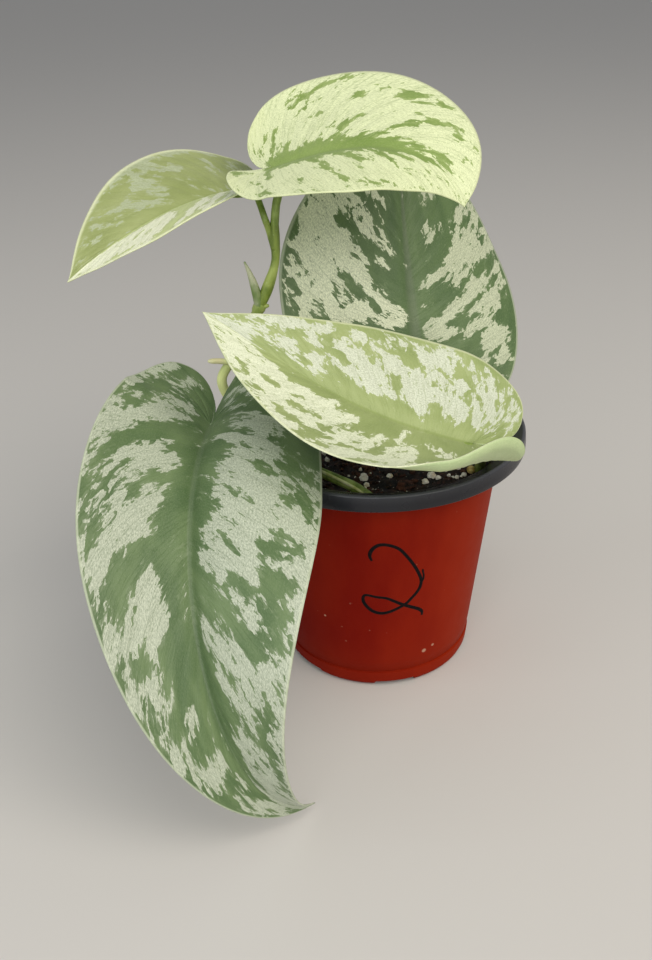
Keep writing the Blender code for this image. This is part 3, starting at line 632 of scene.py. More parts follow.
def midrib(leaf):
    """The midrib's distances from the stalk, with its places, directions and upward sides."""
    heading, pitch = math.radians(leaf["heading"]), math.radians(leaf["pitch"])
    level, rise = math.cos(pitch), math.sin(pitch)
    along = Vector((level * math.cos(heading), level * math.sin(heading), rise))
    up = Vector((-rise * math.cos(heading), -rise * math.sin(heading), level))
    up = Matrix.Rotation(math.radians(leaf["roll"]), 3, along) @ up
    near, middle, far = leaf["bend"]

    def rates(f):
        bend = near * (1 - 2 * f) + middle * 2 * f if f < 0.5 else middle * (2 - 2 * f) + far * (2 * f - 1)
        sickle = leaf["sickle"][0] * (1 - f) + leaf["sickle"][1] * f
        return bend + 4 * leaf["droop"] * f ** 3, sickle + 4 * leaf["hook"] * f ** 3, leaf["twist"]

    reach = max(leaf["lobes"]) + 1
    start = (Vector(leaf["base"]), along, up)
    ahead = walk_rib(start, leaf["length"] / RIB_STEPS, RIB_STEPS, rates)
    behind = walk_rib(start, -reach / LOBE_STEPS, LOBE_STEPS, lambda f: (-leaf["lobe_droop"], 0, 0))
    stops = behind[:0:-1] + ahead
    distances = [-reach * k / LOBE_STEPS for k in range(LOBE_STEPS, 0, -1)]
    distances += [leaf["length"] * k / RIB_STEPS for k in range(RIB_STEPS + 1)]
    return np.array(distances), *(np.array([stop[k] for stop in stops]) for k in range(3))


def on_rib(rib, x):
    """Place, direction and upward side at distances x along the midrib."""
    found = [np.stack([np.interp(x, rib[0], part[:, k]) for k in range(3)], 1) for part in rib[1:]]
    found[2] /= np.linalg.norm(found[2], axis=1, keepdims=True)
    return found


def fade(x, end, stretch):
    """1 near the stalk, falling smoothly to 0 at the end."""
    t = np.clip((end - x) / stretch, 0, 1)
    return t * t * (3 - 2 * t)


def vein_relief(leaf, u, v, y):
    """How far the face rises, in mm: sunk at the midrib and veins, quilted between, wavy at the margin."""
    channel = -RIB_DEPTH * np.exp(-(y / RIB_CHANNEL) ** 2)
    channel *= np.clip((u - 0.2) * 8, 0, 1) * np.clip((1 - u) * 6, 0, 1)
    phase = np.abs(np.sin(math.pi * (SIDE_VEINS * u ** 1.15 + 0.2 * np.sin(5 * v))))
    quilt = QUILT * (phase ** 0.6 - 0.75) * np.clip(np.abs(v) * 6, 0, 1) * (1 - np.abs(v) ** 6)
    wave = leaf["wave"] * np.sin(u * 31 + 2 * np.sign(v)) * np.abs(v) ** 5 * np.clip((1 - u) * 5, 0, 1)
    return channel + quilt * np.clip((u - 0.05) * 8, 0, 1) + wave


def blade_places(leaf, rib, u, v):
    """Places of the bent blade in metres. Each half starts at its fold angle and curls on a round arc."""
    x, y = flat_places(leaf, u, v)
    place, along, up = on_rib(rib, x)
    across = np.cross(along, up)
    right = y >= 0
    f = np.clip(x / leaf["length"], 0, 1)
    behind = np.clip(-x / 8, 0, 1.5)

    def pick(pair):
        return np.where(right, pair[1], pair[0])

    curl = pick(leaf["curl"]) * (1 - f) + pick(leaf["tip_curl"]) * f + pick(leaf["lobe_curl"]) * behind
    lobe_fold = pick(leaf.get("lobe_fold", (0, 0))) * fade(x, LOBE_FOLD_END, LOBE_FOLD_STRETCH)
    fold = np.radians(pick(leaf["fold"]) + lobe_fold)
    bent = np.radians(curl) / pick(leaf["halves"])
    bent = np.where(np.abs(bent) < 1e-6, 1e-6, bent)
    width = np.maximum(margin_places(leaf, 0, u)[:, 1], 1e-3)
    start = np.where(right, 1e3, ROLL_FROM * width)
    out = np.minimum(np.abs(y), start)
    lean = fold + bent * out
    lateral = (np.sin(lean) - np.sin(fold)) / bent
    lift = (np.cos(fold) - np.cos(lean)) / bent
    roll = math.radians(leaf.get("rolled", 0)) * fade(x, ROLL_END, ROLL_STRETCH)
    rolled = bent + roll / (width * (1 - ROLL_FROM))
    rolled = np.where(np.abs(rolled) < 1e-6, 1e-6, rolled)
    last = lean + rolled * (np.abs(y) - out)
    lateral += (np.sin(last) - np.sin(lean)) / rolled
    lift += (np.cos(lean) - np.cos(last)) / rolled
    raised = vein_relief(leaf, u, v, y)
    lateral, lift = lateral - raised * np.sin(last), lift + raised * np.cos(last)
    return (place + across * np.copysign(lateral, y)[:, None] + up * lift[:, None]) * MM


def silver_tone(leaf, u, v):
    """Paints the patches one after another on the leaf's ground tone: 1 is full silver, -1 plain green."""
    tone = np.full_like(u, leaf["ground"])
    for stroke in leaf["patches"]:
        u0, v0, u1, v1, width, level = np.divide(stroke, STROKE_UNITS)
        du, dv = u1 - u0, (v1 - v0) * VEIN_REACH
        pu, pv = u - u0, (v - v0) * VEIN_REACH
        t = np.clip((pu * du + pv * dv) / max(du * du + dv * dv, 1e-9), 0, 1)
        away = np.hypot(pu - t * du, pv - t * dv)
        tone += (level - tone) * np.clip(0.5 + (width - away) / (2 * SOFT_EDGE), 0, 1)
    return tone


def lay_blade(leaf, rib):
    """The blade's sheet, rows along the side veins, with its vein map and its silver tone."""
    bm = bmesh.new()
    bmesh.ops.create_grid(bm, x_segments=BLADE_ALONG, y_segments=BLADE_ACROSS, size=1)
    veins = bm.loops.layers.uv.new("veins")
    silver = bm.verts.layers.float.new("silver")
    for face in bm.faces:
        for loop in face.loops:
            loop[veins].uv = ((loop.vert.co.x + 1) / 2, (loop.vert.co.y + 1) / 2)
    u = np.array([(vert.co.x + 1) / 2 for vert in bm.verts])
    v = np.array([vert.co.y for vert in bm.verts])
    places = blade_places(leaf, rib, u, v)
    tones = silver_tone(leaf, u, v)
    for vert, place, tone in zip(bm.verts, places, tones):
        vert.co = place
        vert[silver] = tone
    bmesh.ops.remove_doubles(bm, verts=bm.verts, dist=0.02 * MM)
    bmesh.ops.reverse_faces(bm, faces=bm.faces)
    return bm


def leaf_skin(name, leaf, greens, middle, silvers, rib_colour, margin, rib_width=0.03, shift=0.0,
              halves_painted_light=None, soft=0.04, margin_from=0.972):
    """The upper face: green skin under silver flecks that run with the veins, a midrib and a pale margin.

    Middle is the paler green between the flecks, and soft is how gently a fleck ends. Shift moves the
    patterns, so that no two leaves match. The last is painted light and shade on the two halves: two dimmer
    silvers painted as shade on the half to the right of the midrib, seen from the stalk, and a paler green
    painted as light on the other half where that differs, or else None.
    """
    finish, tree, shader = new_finish(
        name, 0.42, Specular_IOR_Level=0.4, Sheen_Weight=0.1, Sheen_Roughness=0.4,
    )
    vein_map = node(tree, "UVMap", {"uv_map": "veins"}).outputs[0]
    ahead, across = axis(tree, vein_map, 0), axis(tree, vein_map, 1)
    long, wide = leaf["length"] / 10, sum(leaf["halves"]) / 10

    def laid(along, sideways, start):
        """The vein map in cm times along and sideways, so that a pattern's cells stretch with the veins."""
        spread = {"Scale": (long * along, wide * sideways, 1), "Location": (start, start / 2, shift)}
        return node(tree, "Mapping", Vector=vein_map, **spread).outputs[0]

    def cells(along, sideways, start):
        """One random value for each cell of skin; the cells' sides are bent a little."""
        wavy = laid(along * 1.1, sideways * 1.1, start)
        bent = node(tree, "TexNoise", Vector=wavy, Scale=1.0, Detail=3.0).outputs[1]
        straight = laid(along, sideways, start)
        pushed = sums(tree, "MULTIPLY_ADD", bent, (1.3, 1.3, 0), straight, kind="VectorMath")
        cell = node(tree, "TexVoronoi", {"voronoi_dimensions": "2D"}, Vector=pushed, Scale=1.0).outputs[1]
        return sums(tree, "SUBTRACT", node(tree, "SeparateColor", Color=cell).outputs[0], 0.5)

    streaks = grain(tree, 1.0, 5, laid(11.0, 1.8, shift), 0.62)
    flecked = node(tree, "Attribute", {"attribute_name": "silver"}).outputs["Fac"]
    for along, sideways, start, weight in ((3.6, 1.9, 0, 1.2), (9.0, 3.4, 7, 0.95), (21.0, 8.0, 19, 0.42)):
        flecked = sums(tree, "MULTIPLY_ADD", cells(along, sideways, shift + start), weight, flecked)
    flecked = sums(tree, "MULTIPLY_ADD", sums(tree, "SUBTRACT", streaks, 0.5), 1.15, flecked)
    dust = grain(tree, 1.0, 4, laid(24.0, 19.0, shift + 3), 0.8)
    drift = grain(tree, 1.0, 2, laid(0.9, 0.8, shift + 5))
    green = tint(tree, step(tree, drift, 0.25, 0.75), *greens)
    green = tint(tree, step(tree, dust, 0.42, 0.66), green, middle, 0.30)
    bright = tint(tree, step(tree, dust, 0.36, 0.62), *silvers)
    # Painted light and shade: the far half gets dimmer silvers painted as shade, and the near half a paler
    # green painted as light.
    if halves_painted_light:
        shaded_far_silvers, lit_near_green = halves_painted_light
        on_shaded_far_half = step(tree, across, 0.495, 0.505)
        bright = tint(tree, on_shaded_far_half, bright, tint(tree, step(tree, dust, 0.36, 0.62), *shaded_far_silvers))
        green = tint(tree, on_shaded_far_half, lit_near_green or green, green)
    skin = tint(tree, step(tree, flecked, -0.30, -0.12), green, middle, 0.38)
    skin = tint(tree, step(tree, flecked, SILVER_FROM - soft, SILVER_FROM + soft), skin, bright)

    crease = grain(tree, 1.0, 3, laid(9.0, 0.5, shift + 11), 0.55)
    vein_line = step(tree, sums(tree, "ABSOLUTE", sums(tree, "SUBTRACT", crease, 0.5)), 0.022, 0.004)
    skin = tint(tree, vein_line, skin, greens[0], 0.28)
    from_rib = sums(tree, "MULTIPLY", sums(tree, "ABSOLUTE", sums(tree, "SUBTRACT", across, 0.5)), 2.0)
    skin = tint(tree, step(tree, from_rib, rib_width, rib_width * 0.3), skin, rib_colour, 0.35)
    at_margin, at_tip = step(tree, from_rib, margin_from, 0.990), step(tree, ahead, 0.980, 0.995)
    skin = tint(tree, sums(tree, "MAXIMUM", at_margin, at_tip), skin, margin, 0.75)

    height = sums(tree, "MULTIPLY_ADD", vein_line, -1.2, dust)
    height = sums(tree, "MULTIPLY_ADD", streaks, 0.9, height)
    dress(tree, shader, skin, height, 0.35, 0.14, (dust, 0.22, 0.33))
    return finish


def leaf_back_skin(name, leaf, deep, pale):
    """The underside: plain paler green with a net of raised veins and a dry pale tip."""
    finish, tree, shader = new_finish(name, 0.5, Specular_IOR_Level=0.35)
    vein_map = node(tree, "UVMap", {"uv_map": "veins"}).outputs[0]
    scale = (leaf["length"] / 10, sum(leaf["halves"]) / 10, 1)
    spread = node(tree, "Mapping", Vector=vein_map, Scale=scale).outputs[0]
    net = node(tree, "TexVoronoi", {"feature": "DISTANCE_TO_EDGE"}, Vector=spread, Scale=9.0).outputs[0]
    skin = tint(tree, grain(tree, 2.5, 4, spread), deep, pale)
    skin = tint(tree, step(tree, net, 0.06, 0.0), skin, pale)
    skin = tint(tree, step(tree, axis(tree, vein_map, 0), 0.970, 0.995), skin, (0.72, 0.68, 0.52), 0.8)
    dress(tree, shader, skin, step(tree, net, 0.10, 0.0), 0.3, 0.12)
    return finish


def leaf_stalk(leaf, rib):
    """Up the stalk to the blade, then on along its underside as the raised midrib."""
    points = [tuple(point) for point in leaf["stalk"]]
    radius = points[-1][3]
    for share, thick, below in RIB_TAPER:
        place, along, up = (part[0] for part in on_rib(rib, np.array([share * leaf["length"]])))
        points.append((*(place - up * (radius * thick + below)), radius * thick))
    return stalk(points, 16, 6, 0.02)


def grow_leaf(name, leaf, slot, skin, underside, rind):
    """A blade, thickened evenly about its sheet, and its stalk; together they stand for the solid."""
    rib = midrib(leaf)
    blade = keep(name + "_blade", lay_blade(leaf, rib), slot, name, skin, underside)
    thicken = blade.modifiers.new("thickness", "SOLIDIFY")
    thicken.thickness = BLADE_THICKNESS
    thicken.offset = 0.0
    thicken.material_offset = 1
    keep(name + "_stalk", leaf_stalk(leaf, rib), slot, name, rind)


# A leaf's places and sizes are in mm and its turns in degrees. Where there are two of halves, lobes, fold or
# curl, the left one comes first, seen from the stalk.
front = {
    "base": (-55.6, -22.6, 102.6), "heading": 257.5, "pitch": -9, "roll": 11, "length": 153,
    "halves": (42.5, 35), "widest": 34.5, "lobes": (31, 23), "fullness": 0.36, "slimness": 0.12,
    "bend": (112, 61, 85), "droop": 49, "sickle": (-24, 15), "hook": -44, "twist": -1, "lobe_droop": -32,
    "fold": (21, 41), "curl": (-81, 7), "tip_curl": (7, 0), "lobe_curl": (1, -6),
    "wave": 0.25, "ground": -1.0,
    "stalk": [(-1.0, -30.0, 65.0, 1.9), (-1.5, -30.0, 74.0, 1.9), (-8.0, -29.3, 80.5, 1.9),
              (-19.0, -27.0, 85.5, 1.7), (-37.0, -24.5, 93.8, 1.6)],
    # Dim washes along both margins, the left half's silver, then the right half's, its gaps and its rim.
    "patches": [
        (400, 87, 760, 87, 26, -18), (400, -82, 840, -82, 22, -22), (130, -25, 260, -24, 14, 50),
        (120, -42, 240, -46, 14, 60), (320, -24, 330, -60, 14, 90), (352, -26, 362, -62, 11, 110),
        (388, -18, 392, -56, 12, 110), (405, -45, 430, -66, 8, 70), (425, -24, 428, -40, 8, 70),
        (455, -26, 470, -60, 16, 120), (492, -22, 505, -76, 14, 120), (530, -24, 530, -60, 16, 120),
        (580, -22, 575, -50, 14, 110), (610, -20, 606, -58, 16, 120), (640, -14, 648, -60, 13, 120),
        (628, -44, 632, -52, 7, -100), (590, -55, 548, -92, 7, 90), (650, -62, 632, -70, 8, 90),
        (690, -80, 662, -92, 7, 90), (705, -34, 712, -60, 11, 100), (740, -18, 738, -70, 16, 110),
        (775, -28, 772, -66, 14, 110), (725, -60, 700, -84, 10, 90), (748, -38, 752, -50, 5, -100),
        (820, -44, 805, -78, 14, 80), (855, -40, 840, -80, 14, 80), (895, -42, 872, -84, 18, 90),
        (935, -50, 905, -90, 20, 100), (970, -30, 950, -90, 18, 110), (430, -76, 425, -86, 8, 70),
        (480, -84, 500, -88, 6, 70), (400, -97, 930, -97, 8, 120), (275, 30, 300, 56, 26, 60),
        (330, 30, 372, 86, 20, 110), (418, 34, 432, 76, 19, 120), (452, 22, 462, 56, 16, 120),
        (474, 46, 470, 80, 14, 110), (495, 34, 505, 72, 12, 100), (518, 28, 535, 82, 19, 120),
        (558, 42, 530, 86, 13, 100), (430, 78, 420, 95, 8, 80), (480, 80, 462, 95, 8, 80),
        (560, 92, 500, 94, 8, 70), (625, 40, 612, 60, 14, 110), (655, 36, 648, 60, 16, 110),
        (690, 34, 672, 56, 13, 110), (640, 62, 605, 94, 11, 100), (690, 62, 650, 92, 11, 100),
        (730, 55, 690, 90, 8, 90), (785, 42, 735, 90, 8, 100), (852, 42, 775, 90, 9, 100),
        (900, 40, 830, 90, 8, 70), (930, 62, 860, 92, 14, 80), (975, 50, 900, 95, 16, 100),
        (975, -95, 975, 95, 16, 110), (395, 16, 388, 46, 6, -90), (400, 60, 420, 90, 6, -80),
        (470, 62, 500, 90, 5, -70), (487, 30, 484, 50, 5, -70), (578, 10, 566, 90, 9, -90),
        (443, 60, 446, 66, 5, -90), (310, 93, 400, 96, 8, 80), (140, 93, 280, 94, 14, 80),
        (260, 80, 300, 70, 10, 20), (345, 90, 322, 80, 8, 80), (130, 66, 230, 62, 22, 15),
        (590, 90, 720, 92, 14, 30), (200, 72, 240, 85, 10, 40),
    ],
}
dark_skin = leaf_skin(
    "front_leaf_skin", front, ((0.070, 0.130, 0.042), (0.150, 0.222, 0.090)), (0.24, 0.30, 0.17),
    ((0.30, 0.345, 0.245), (0.59, 0.63, 0.495)), (0.13, 0.17, 0.10), (0.55, 0.60, 0.44),
)
dark_under = leaf_back_skin("front_leaf_underside", front, (0.11, 0.19, 0.08), (0.17, 0.27, 0.12))
stalk_rind = stem_skin("stalk_rind", (0.14, 0.21, 0.035), (0.28, 0.38, 0.08), (0.40, 0.50, 0.15))
grow_leaf("leaf_front", front, "dark_green_leaf", dark_skin, dark_under, stalk_rind)
WING = [(-5.0, -31.2, 78.6, 0.25), (-9.0, -30.9, 82.0, 0.5), (-19.0, -28.5, 86.8, 0.5),
        (-33.0, -26.4, 93.2, 0.3)]
wing_rind = stem_skin("wing_rind", (0.50, 0.56, 0.16), (0.70, 0.74, 0.34), (0.80, 0.82, 0.50))
keep("leaf_front_wing", stalk(WING), "dark_green_leaf", "leaf_front", wing_rind)


# The back leaf is nearly as old and as dark. It stands almost upright behind the others, a little turned,
# on a stalk that comes straight from the mix.
back = {
    "base": (16.3, 8.0, 104.2), "heading": 103.3, "pitch": 64.6, "roll": 2.4, "length": 104.7,
    "halves": (48.2, 45.3), "widest": 33.2, "lobes": (16.9, 14.3), "fullness": 0.51, "slimness": 0.22,
    "bend": (20.5, -5.8, 4.4), "droop": -8, "sickle": (10.4, 2.5), "hook": -7.7, "twist": 18.6,
    "lobe_droop": 18.2, "fold": (4.3, 0.2), "curl": (-8.6, -11.3), "tip_curl": (-17.6, -39.4),
    "lobe_curl": (0, 3.9), "wave": 0.25, "ground": -1.0,
    "stalk": [(6.0, 14.0, 65.0, 1.8), (7.0, 14.5, 76.0, 1.8), (11.0, 15.5, 88.0, 1.7),
              (15.0, 13.5, 97.5, 1.6)],
    # Dim washes in both halves, the left half's silver from lobe to tip, then the right half's and its rim.
    "patches": [
        (420, -75, 550, -75, 40, -18), (360, 72, 550, 72, 34, -18), (150, -30, 180, -60, 16, 70),
        (220, -45, 240, -85, 14, 90), (290, -25, 310, -60, 14, 90), (340, -50, 350, -90, 12, 90),
        (385, -20, 395, -55, 12, 90), (430, -75, 425, -95, 9, 90), (446, -52, 440, -80, 8, 90),
        (475, -46, 470, -86, 9, 90), (480, -22, 476, -42, 8, 80), (500, -50, 490, -66, 11, 100),
        (500, -14, 500, -36, 17, 100), (535, -12, 560, -38, 14, 100), (525, -55, 515, -92, 11, 100),
        (555, -60, 545, -88, 9, 100), (560, -35, 575, -46, 13, 80), (592, -46, 582, -90, 22, 110),
        (622, -58, 612, -74, 17, 90), (645, -80, 625, -95, 18, 100), (630, -28, 636, -24, 9, 60),
        (676, -20, 665, -60, 10, 100), (702, -24, 690, -60, 9, 90), (722, -30, 735, -46, 6, 60),
        (692, -65, 662, -92, 11, 90), (760, -40, 740, -72, 11, 80), (820, -35, 790, -75, 10, 80),
        (435, 22, 455, 17, 18, 60), (482, 14, 494, 56, 16, 110), (505, 28, 520, 50, 10, 90),
        (450, 50, 440, 86, 12, 90), (410, 44, 420, 60, 10, 80), (376, 60, 362, 80, 9, 90),
        (350, 66, 340, 90, 10, 90), (310, 80, 290, 95, 10, 90), (500, 55, 480, 86, 12, 100),
        (545, 42, 550, 70, 9, 90), (600, 20, 585, 80, 19, 110), (570, 35, 580, 52, 10, 90),
        (560, 70, 530, 93, 15, 90), (610, 60, 590, 92, 12, 100), (692, 30, 680, 52, 6, 80),
        (722, 27, 712, 42, 4, 70), (775, 38, 735, 58, 10, 80), (660, 62, 620, 92, 12, 90),
        (800, 45, 720, 82, 9, 80), (300, 28, 315, 60, 11, 90), (220, 40, 250, 85, 13, 90),
        (150, 45, 180, 85, 14, 60), (400, 92, 560, 95, 6, 70),
    ],
}
# Its right half's dimmer silvers are painted shade, a shaded copy of the left half's.
back_skin = leaf_skin(
    "back_leaf_skin", back, ((0.064, 0.120, 0.036), (0.110, 0.178, 0.060)), (0.20, 0.27, 0.13),
    ((0.48, 0.53, 0.35), (0.84, 0.87, 0.64)), (0.15, 0.17, 0.12), (0.55, 0.60, 0.44), 0.06, 4.0,
    (((0.35, 0.395, 0.26), (0.63, 0.67, 0.47)), None),
)
back_under = leaf_back_skin("back_leaf_underside", back, (0.11, 0.19, 0.08), (0.17, 0.27, 0.12))
grow_leaf("leaf_back", back, "dark_green_leaf", back_skin, back_under, stalk_rind)


# The top leaf is the youngest and palest, silver nearly all over with green along its midrib. Its near half
# folds down along the midrib and its far half stands up.
top = {
    "base": (-32.3, 1.5, 179.5), "heading": -2.5, "pitch": 17.6, "roll": 10.7, "length": 69,
    "halves": (40.9, 31.4), "widest": 17.8, "lobes": (8.4, 14.5), "fullness": 0.65, "slimness": 0.07,
    "bend": (7.3, 48, 68), "droop": 22, "sickle": (7, 112), "hook": 10, "twist": 23.3, "lobe_droop": -56,
    "fold": (-0.3, 8), "curl": (28.6, -7), "tip_curl": (-25, 14), "lobe_curl": (10, -9), "lobe_fold": (2, 2),
    "wave": 0.2, "ground": 0.9,
    "stalk": [(-32.25, 0.0, 161.4, 1.38), (-31.4, -0.6, 168.0, 1.3), (-30.2, -1.2, 173.0, 1.3),
              (-31.0, 0.0, 177.0, 1.3)],
    # Silver all over at first, then the green along the midrib and the gaps that leave it on either side.
    "patches": [
        (0, 0, 300, 0, 34, -100), (300, 0, 930, 0, 34, -120), (410, -10, 415, -22, 9, -90),
        (570, -10, 588, -48, 4, -60), (602, -10, 620, -24, 9, -90), (655, -10, 662, -22, 8, -90),
        (705, -10, 713, -72, 5, -90), (750, -10, 760, -20, 8, -80), (800, -12, 822, -32, 12, -100),
        (840, -10, 862, -52, 12, -100), (890, -10, 905, -42, 18, -80), (515, 10, 525, 72, 9, -90),
        (610, 10, 640, 36, 10, -90), (720, 10, 730, 60, 11, -90), (760, 10, 800, 32, 20, -100),
        (850, 5, 872, 22, 16, -100), (310, 20, 325, 42, 12, -90), (300, 60, 312, 90, 9, -80),
        (410, -58, 422, -70, 4, -50), (475, -85, 482, -89, 6, -60), (530, -64, 525, -71, 9, -70),
        (555, -92, 598, -82, 5, -60), (602, -94, 606, -80, 7, -80), (630, -80, 640, -72, 5, -60),
        (670, -68, 676, -76, 5, -70), (705, -85, 750, -82, 6, -60), (660, -95, 645, -90, 5, -60),
        (380, -70, 402, -80, 3, -50), (450, -95, 425, -86, 3, -40), (410, 62, 420, 80, 7, -50),
        (330, 75, 342, 86, 7, -60), (580, 86, 605, 90, 6, -50), (620, 84, 642, 88, 6, -60),
        (530, 80, 552, 83, 8, -50), (742, 64, 756, 76, 7, -50), (120, 55, 105, 90, 11, -70),
        (160, 35, 140, 55, 9, -50), (200, 84, 225, 95, 8, -60), (250, 60, 270, 62, 7, -50),
        (150, -30, 180, -60, 8, -50), (260, -30, 300, -55, 8, -60), (330, -20, 345, -50, 6, -50),
    ],
}
top_skin = leaf_skin(
    "top_leaf_skin", top, ((0.175, 0.272, 0.050), (0.255, 0.360, 0.092)), (0.46, 0.55, 0.23),
    ((0.58, 0.65, 0.36), (0.84, 0.90, 0.56)), (0.22, 0.32, 0.075), (0.74, 0.80, 0.48), 0.025, 9.0,
)
pale_under = leaf_back_skin("top_leaf_underside", top, (0.38, 0.50, 0.22), (0.50, 0.60, 0.30))
young_rind = stem_skin("young_stalk_rind", (0.15, 0.22, 0.035), (0.28, 0.38, 0.08), (0.36, 0.47, 0.13))
grow_leaf("leaf_top", top, "pale_green_leaf", top_skin, pale_under, young_rind)


# The left leaf is small and young. It folds along its midrib like an open book and hangs to the left, with
# its lower half bright and its upper half shaded olive. The lower half's paler green and brighter silver are
# partly painted light, and the upper half's dim silver is painted shade.
left = {
    "base": (-41.1, 16.6, 169.3), "heading": 205.4, "pitch": 6.5, "roll": -2.0, "length": 68.3,
    "halves": (26.4, 27.6), "widest": 17.4, "lobes": (4.0, 7.0), "fullness": 0.45, "slimness": 0.09,
    "bend": (64.4, 38.2, 23.8), "droop": -4.9, "sickle": (-15.0, 0.1), "hook": -6.5, "twist": -22.7,
    "lobe_droop": 16.4, "fold": (18.8, 15.2), "curl": (0, 0), "tip_curl": (0, 0), "lobe_curl": (0, 0),
    "wave": 0.15, "ground": -0.7,
    "stalk": [(-34.8, -0.3, 162.6, 1.08), (-36.0, 0.8, 166.5, 1.05), (-37.6, 6.0, 169.6, 1.05),
              (-38.8, 12.0, 170.6, 1.05)],
    # The right half's faint haze, then the left half's silver and last the green gaps in it.
    "patches": [
        (520, 30, 500, 60, 30, 10), (620, 35, 600, 66, 28, 25), (700, 35, 690, 62, 24, 40),
        (720, 60, 720, 90, 18, 45), (780, 50, 760, 80, 18, 30), (550, 80, 500, 90, 24, 20),
        (400, 40, 380, 70, 20, 20), (300, 50, 280, 80, 20, 30), (200, 50, 180, 80, 20, 40),
        (840, 60, 820, 85, 14, 40), (320, 93, 700, 97, 8, 100), (720, -62, 950, -62, 100, 90),
        (350, -35, 360, -90, 18, 90), (420, -30, 430, -90, 18, 90), (480, -28, 490, -90, 18, 100),
        (545, -30, 555, -92, 22, 110), (650, -38, 660, -95, 20, 110), (700, -38, 715, -95, 24, 120),
        (760, -38, 780, -95, 24, 120), (820, -36, 840, -95, 24, 110), (900, -30, 910, -95, 26, 100),
        (220, -40, 240, -90, 20, 90), (615, -10, 600, -52, 12, -90), (580, -75, 615, -90, 6, -60),
        (500, -93, 800, -93, 10, -60), (700, -72, 670, -46, 4, -60), (810, -55, 795, -80, 4, -50),
        (740, -50, 750, -66, 3, -50), (655, -10, 640, -30, 12, -90), (460, -50, 455, -80, 5, -60),
    ],
}
left_skin = leaf_skin(
    "left_leaf_skin", left, ((0.26, 0.31, 0.100), (0.34, 0.39, 0.155)), (0.40, 0.45, 0.22),
    ((0.76, 0.80, 0.54), (0.95, 0.97, 0.76)), (0.27, 0.35, 0.09), (0.80, 0.84, 0.55), 0.025, 13.0,
    (((0.36, 0.41, 0.24), (0.46, 0.51, 0.33)), (0.56, 0.64, 0.28)), 0.14, 0.93,
)
grow_leaf("leaf_left", left, "pale_green_leaf", left_skin, pale_under, young_rind)


# The right leaf lies level over the front of the pot, its tip to the left. It is half grown: yellow-green
# and blotched with silver. Its near lobe rolls up at the lip and shows the smooth pale underside.
right = {
    "base": (28.3, -40.1, 101.9), "heading": 172, "pitch": 12, "roll": -11.9, "length": 94,
    "halves": (44.8, 35), "widest": 9.6, "lobes": (12.3, 14.5), "fullness": 0.48, "slimness": 0.07,
    "bend": (-39, -42, 38), "droop": 14, "sickle": (-6, 29), "hook": 1, "twist": -23, "lobe_droop": 1,
    "fold": (4.1, 13), "curl": (56.6, 6), "tip_curl": (25.1, -15), "lobe_curl": (12.8, -4),
    "lobe_fold": (12.6, 0), "rolled": 53.3, "wave": 0.2, "ground": -1.0,
    "stalk": [(35.0, -11.0, 65.0, 1.8), (35.2, -11.5, 74.0, 1.8), (35.0, -17.0, 83.0, 1.7),
              (33.5, -27.0, 91.5, 1.6)],
    # Dim washes and the silver tip, then the left half's silver and gaps, then the right half's.
    "patches": [
        (180, 50, 400, 50, 60, -32), (140, 80, 420, 80, 30, -28), (420, 88, 920, 86, 22, -15),
        (970, -95, 970, 95, 20, 110), (880, 75, 950, 55, 20, 90), (740, 95, 900, 95, 18, 40),
        (130, -50, 160, -85, 18, 80), (200, -46, 230, -90, 20, 90), (270, -48, 290, -85, 18, 90),
        (340, -50, 350, -92, 16, 90), (400, -55, 410, -92, 13, 90), (530, -32, 520, -95, 16, 100),
        (558, -36, 550, -95, 16, 110), (600, -32, 600, -95, 18, 110), (638, -42, 632, -95, 18, 110),
        (680, -26, 680, -95, 15, 110), (705, -32, 712, -95, 18, 110), (742, -22, 748, -95, 18, 120),
        (780, -32, 782, -95, 20, 120), (822, -40, 822, -95, 20, 110), (862, -36, 862, -95, 20, 110),
        (905, -40, 905, -95, 22, 100), (945, -30, 945, -90, 20, 90), (475, -52, 470, -90, 9, 90),
        (500, -60, 490, -95, 9, 80), (430, -20, 442, -30, 8, 80), (460, -22, 462, -30, 7, 80),
        (482, -20, 505, -19, 7, 90), (565, -10, 567, -22, 9, 90), (552, -82, 560, -92, 5, -80),
        (602, -72, 606, -62, 5, -80), (622, -84, 628, -93, 5, -80), (580, -62, 592, -66, 4, -80),
        (672, -64, 662, -50, 5, -80), (650, -72, 668, -72, 4, -60), (705, -55, 730, -62, 5, -50),
        (740, -60, 746, -66, 6, -70), (790, -60, 800, -70, 7, -80), (802, -80, 840, -84, 6, -70),
        (722, -86, 730, -93, 4, -70), (662, -90, 672, -95, 5, -70), (762, -86, 772, -93, 5, -60),
        (690, -78, 702, -85, 4, -60), (120, 60, 150, 85, 18, 30), (180, 60, 200, 80, 14, 30),
        (225, 26, 230, 50, 20, 35), (265, 24, 255, 62, 20, 45), (305, 26, 295, 66, 20, 50),
        (340, 24, 335, 70, 20, 55), (375, 40, 372, 72, 14, 50), (412, 18, 405, 34, 14, 100),
        (430, 34, 420, 58, 18, 100), (455, 18, 450, 30, 14, 100), (465, 40, 460, 78, 14, 100),
        (490, 60, 490, 76, 12, 90), (495, 36, 500, 50, 10, 90), (525, 20, 515, 56, 18, 110),
        (555, 26, 550, 56, 14, 110), (570, 62, 600, 76, 15, 100), (560, 80, 600, 82, 8, 70),
        (610, 30, 605, 56, 16, 110), (645, 26, 635, 62, 18, 110), (680, 30, 668, 60, 14, 110),
        (700, 44, 720, 56, 10, 90), (690, 68, 672, 80, 12, 90), (730, 66, 712, 84, 10, 80),
        (770, 34, 750, 46, 13, 100), (800, 22, 785, 40, 13, 100), (825, 30, 800, 52, 12, 100),
        (797, 34, 800, 36, 6, -100), (840, 44, 800, 70, 12, 90), (870, 50, 840, 75, 10, 80),
        (900, 54, 880, 80, 16, 90), (940, 40, 930, 85, 18, 90), (300, 82, 350, 86, 10, 30),
        (620, 86, 640, 90, 7, 50), (800, 80, 790, 92, 12, 60),
    ],
}
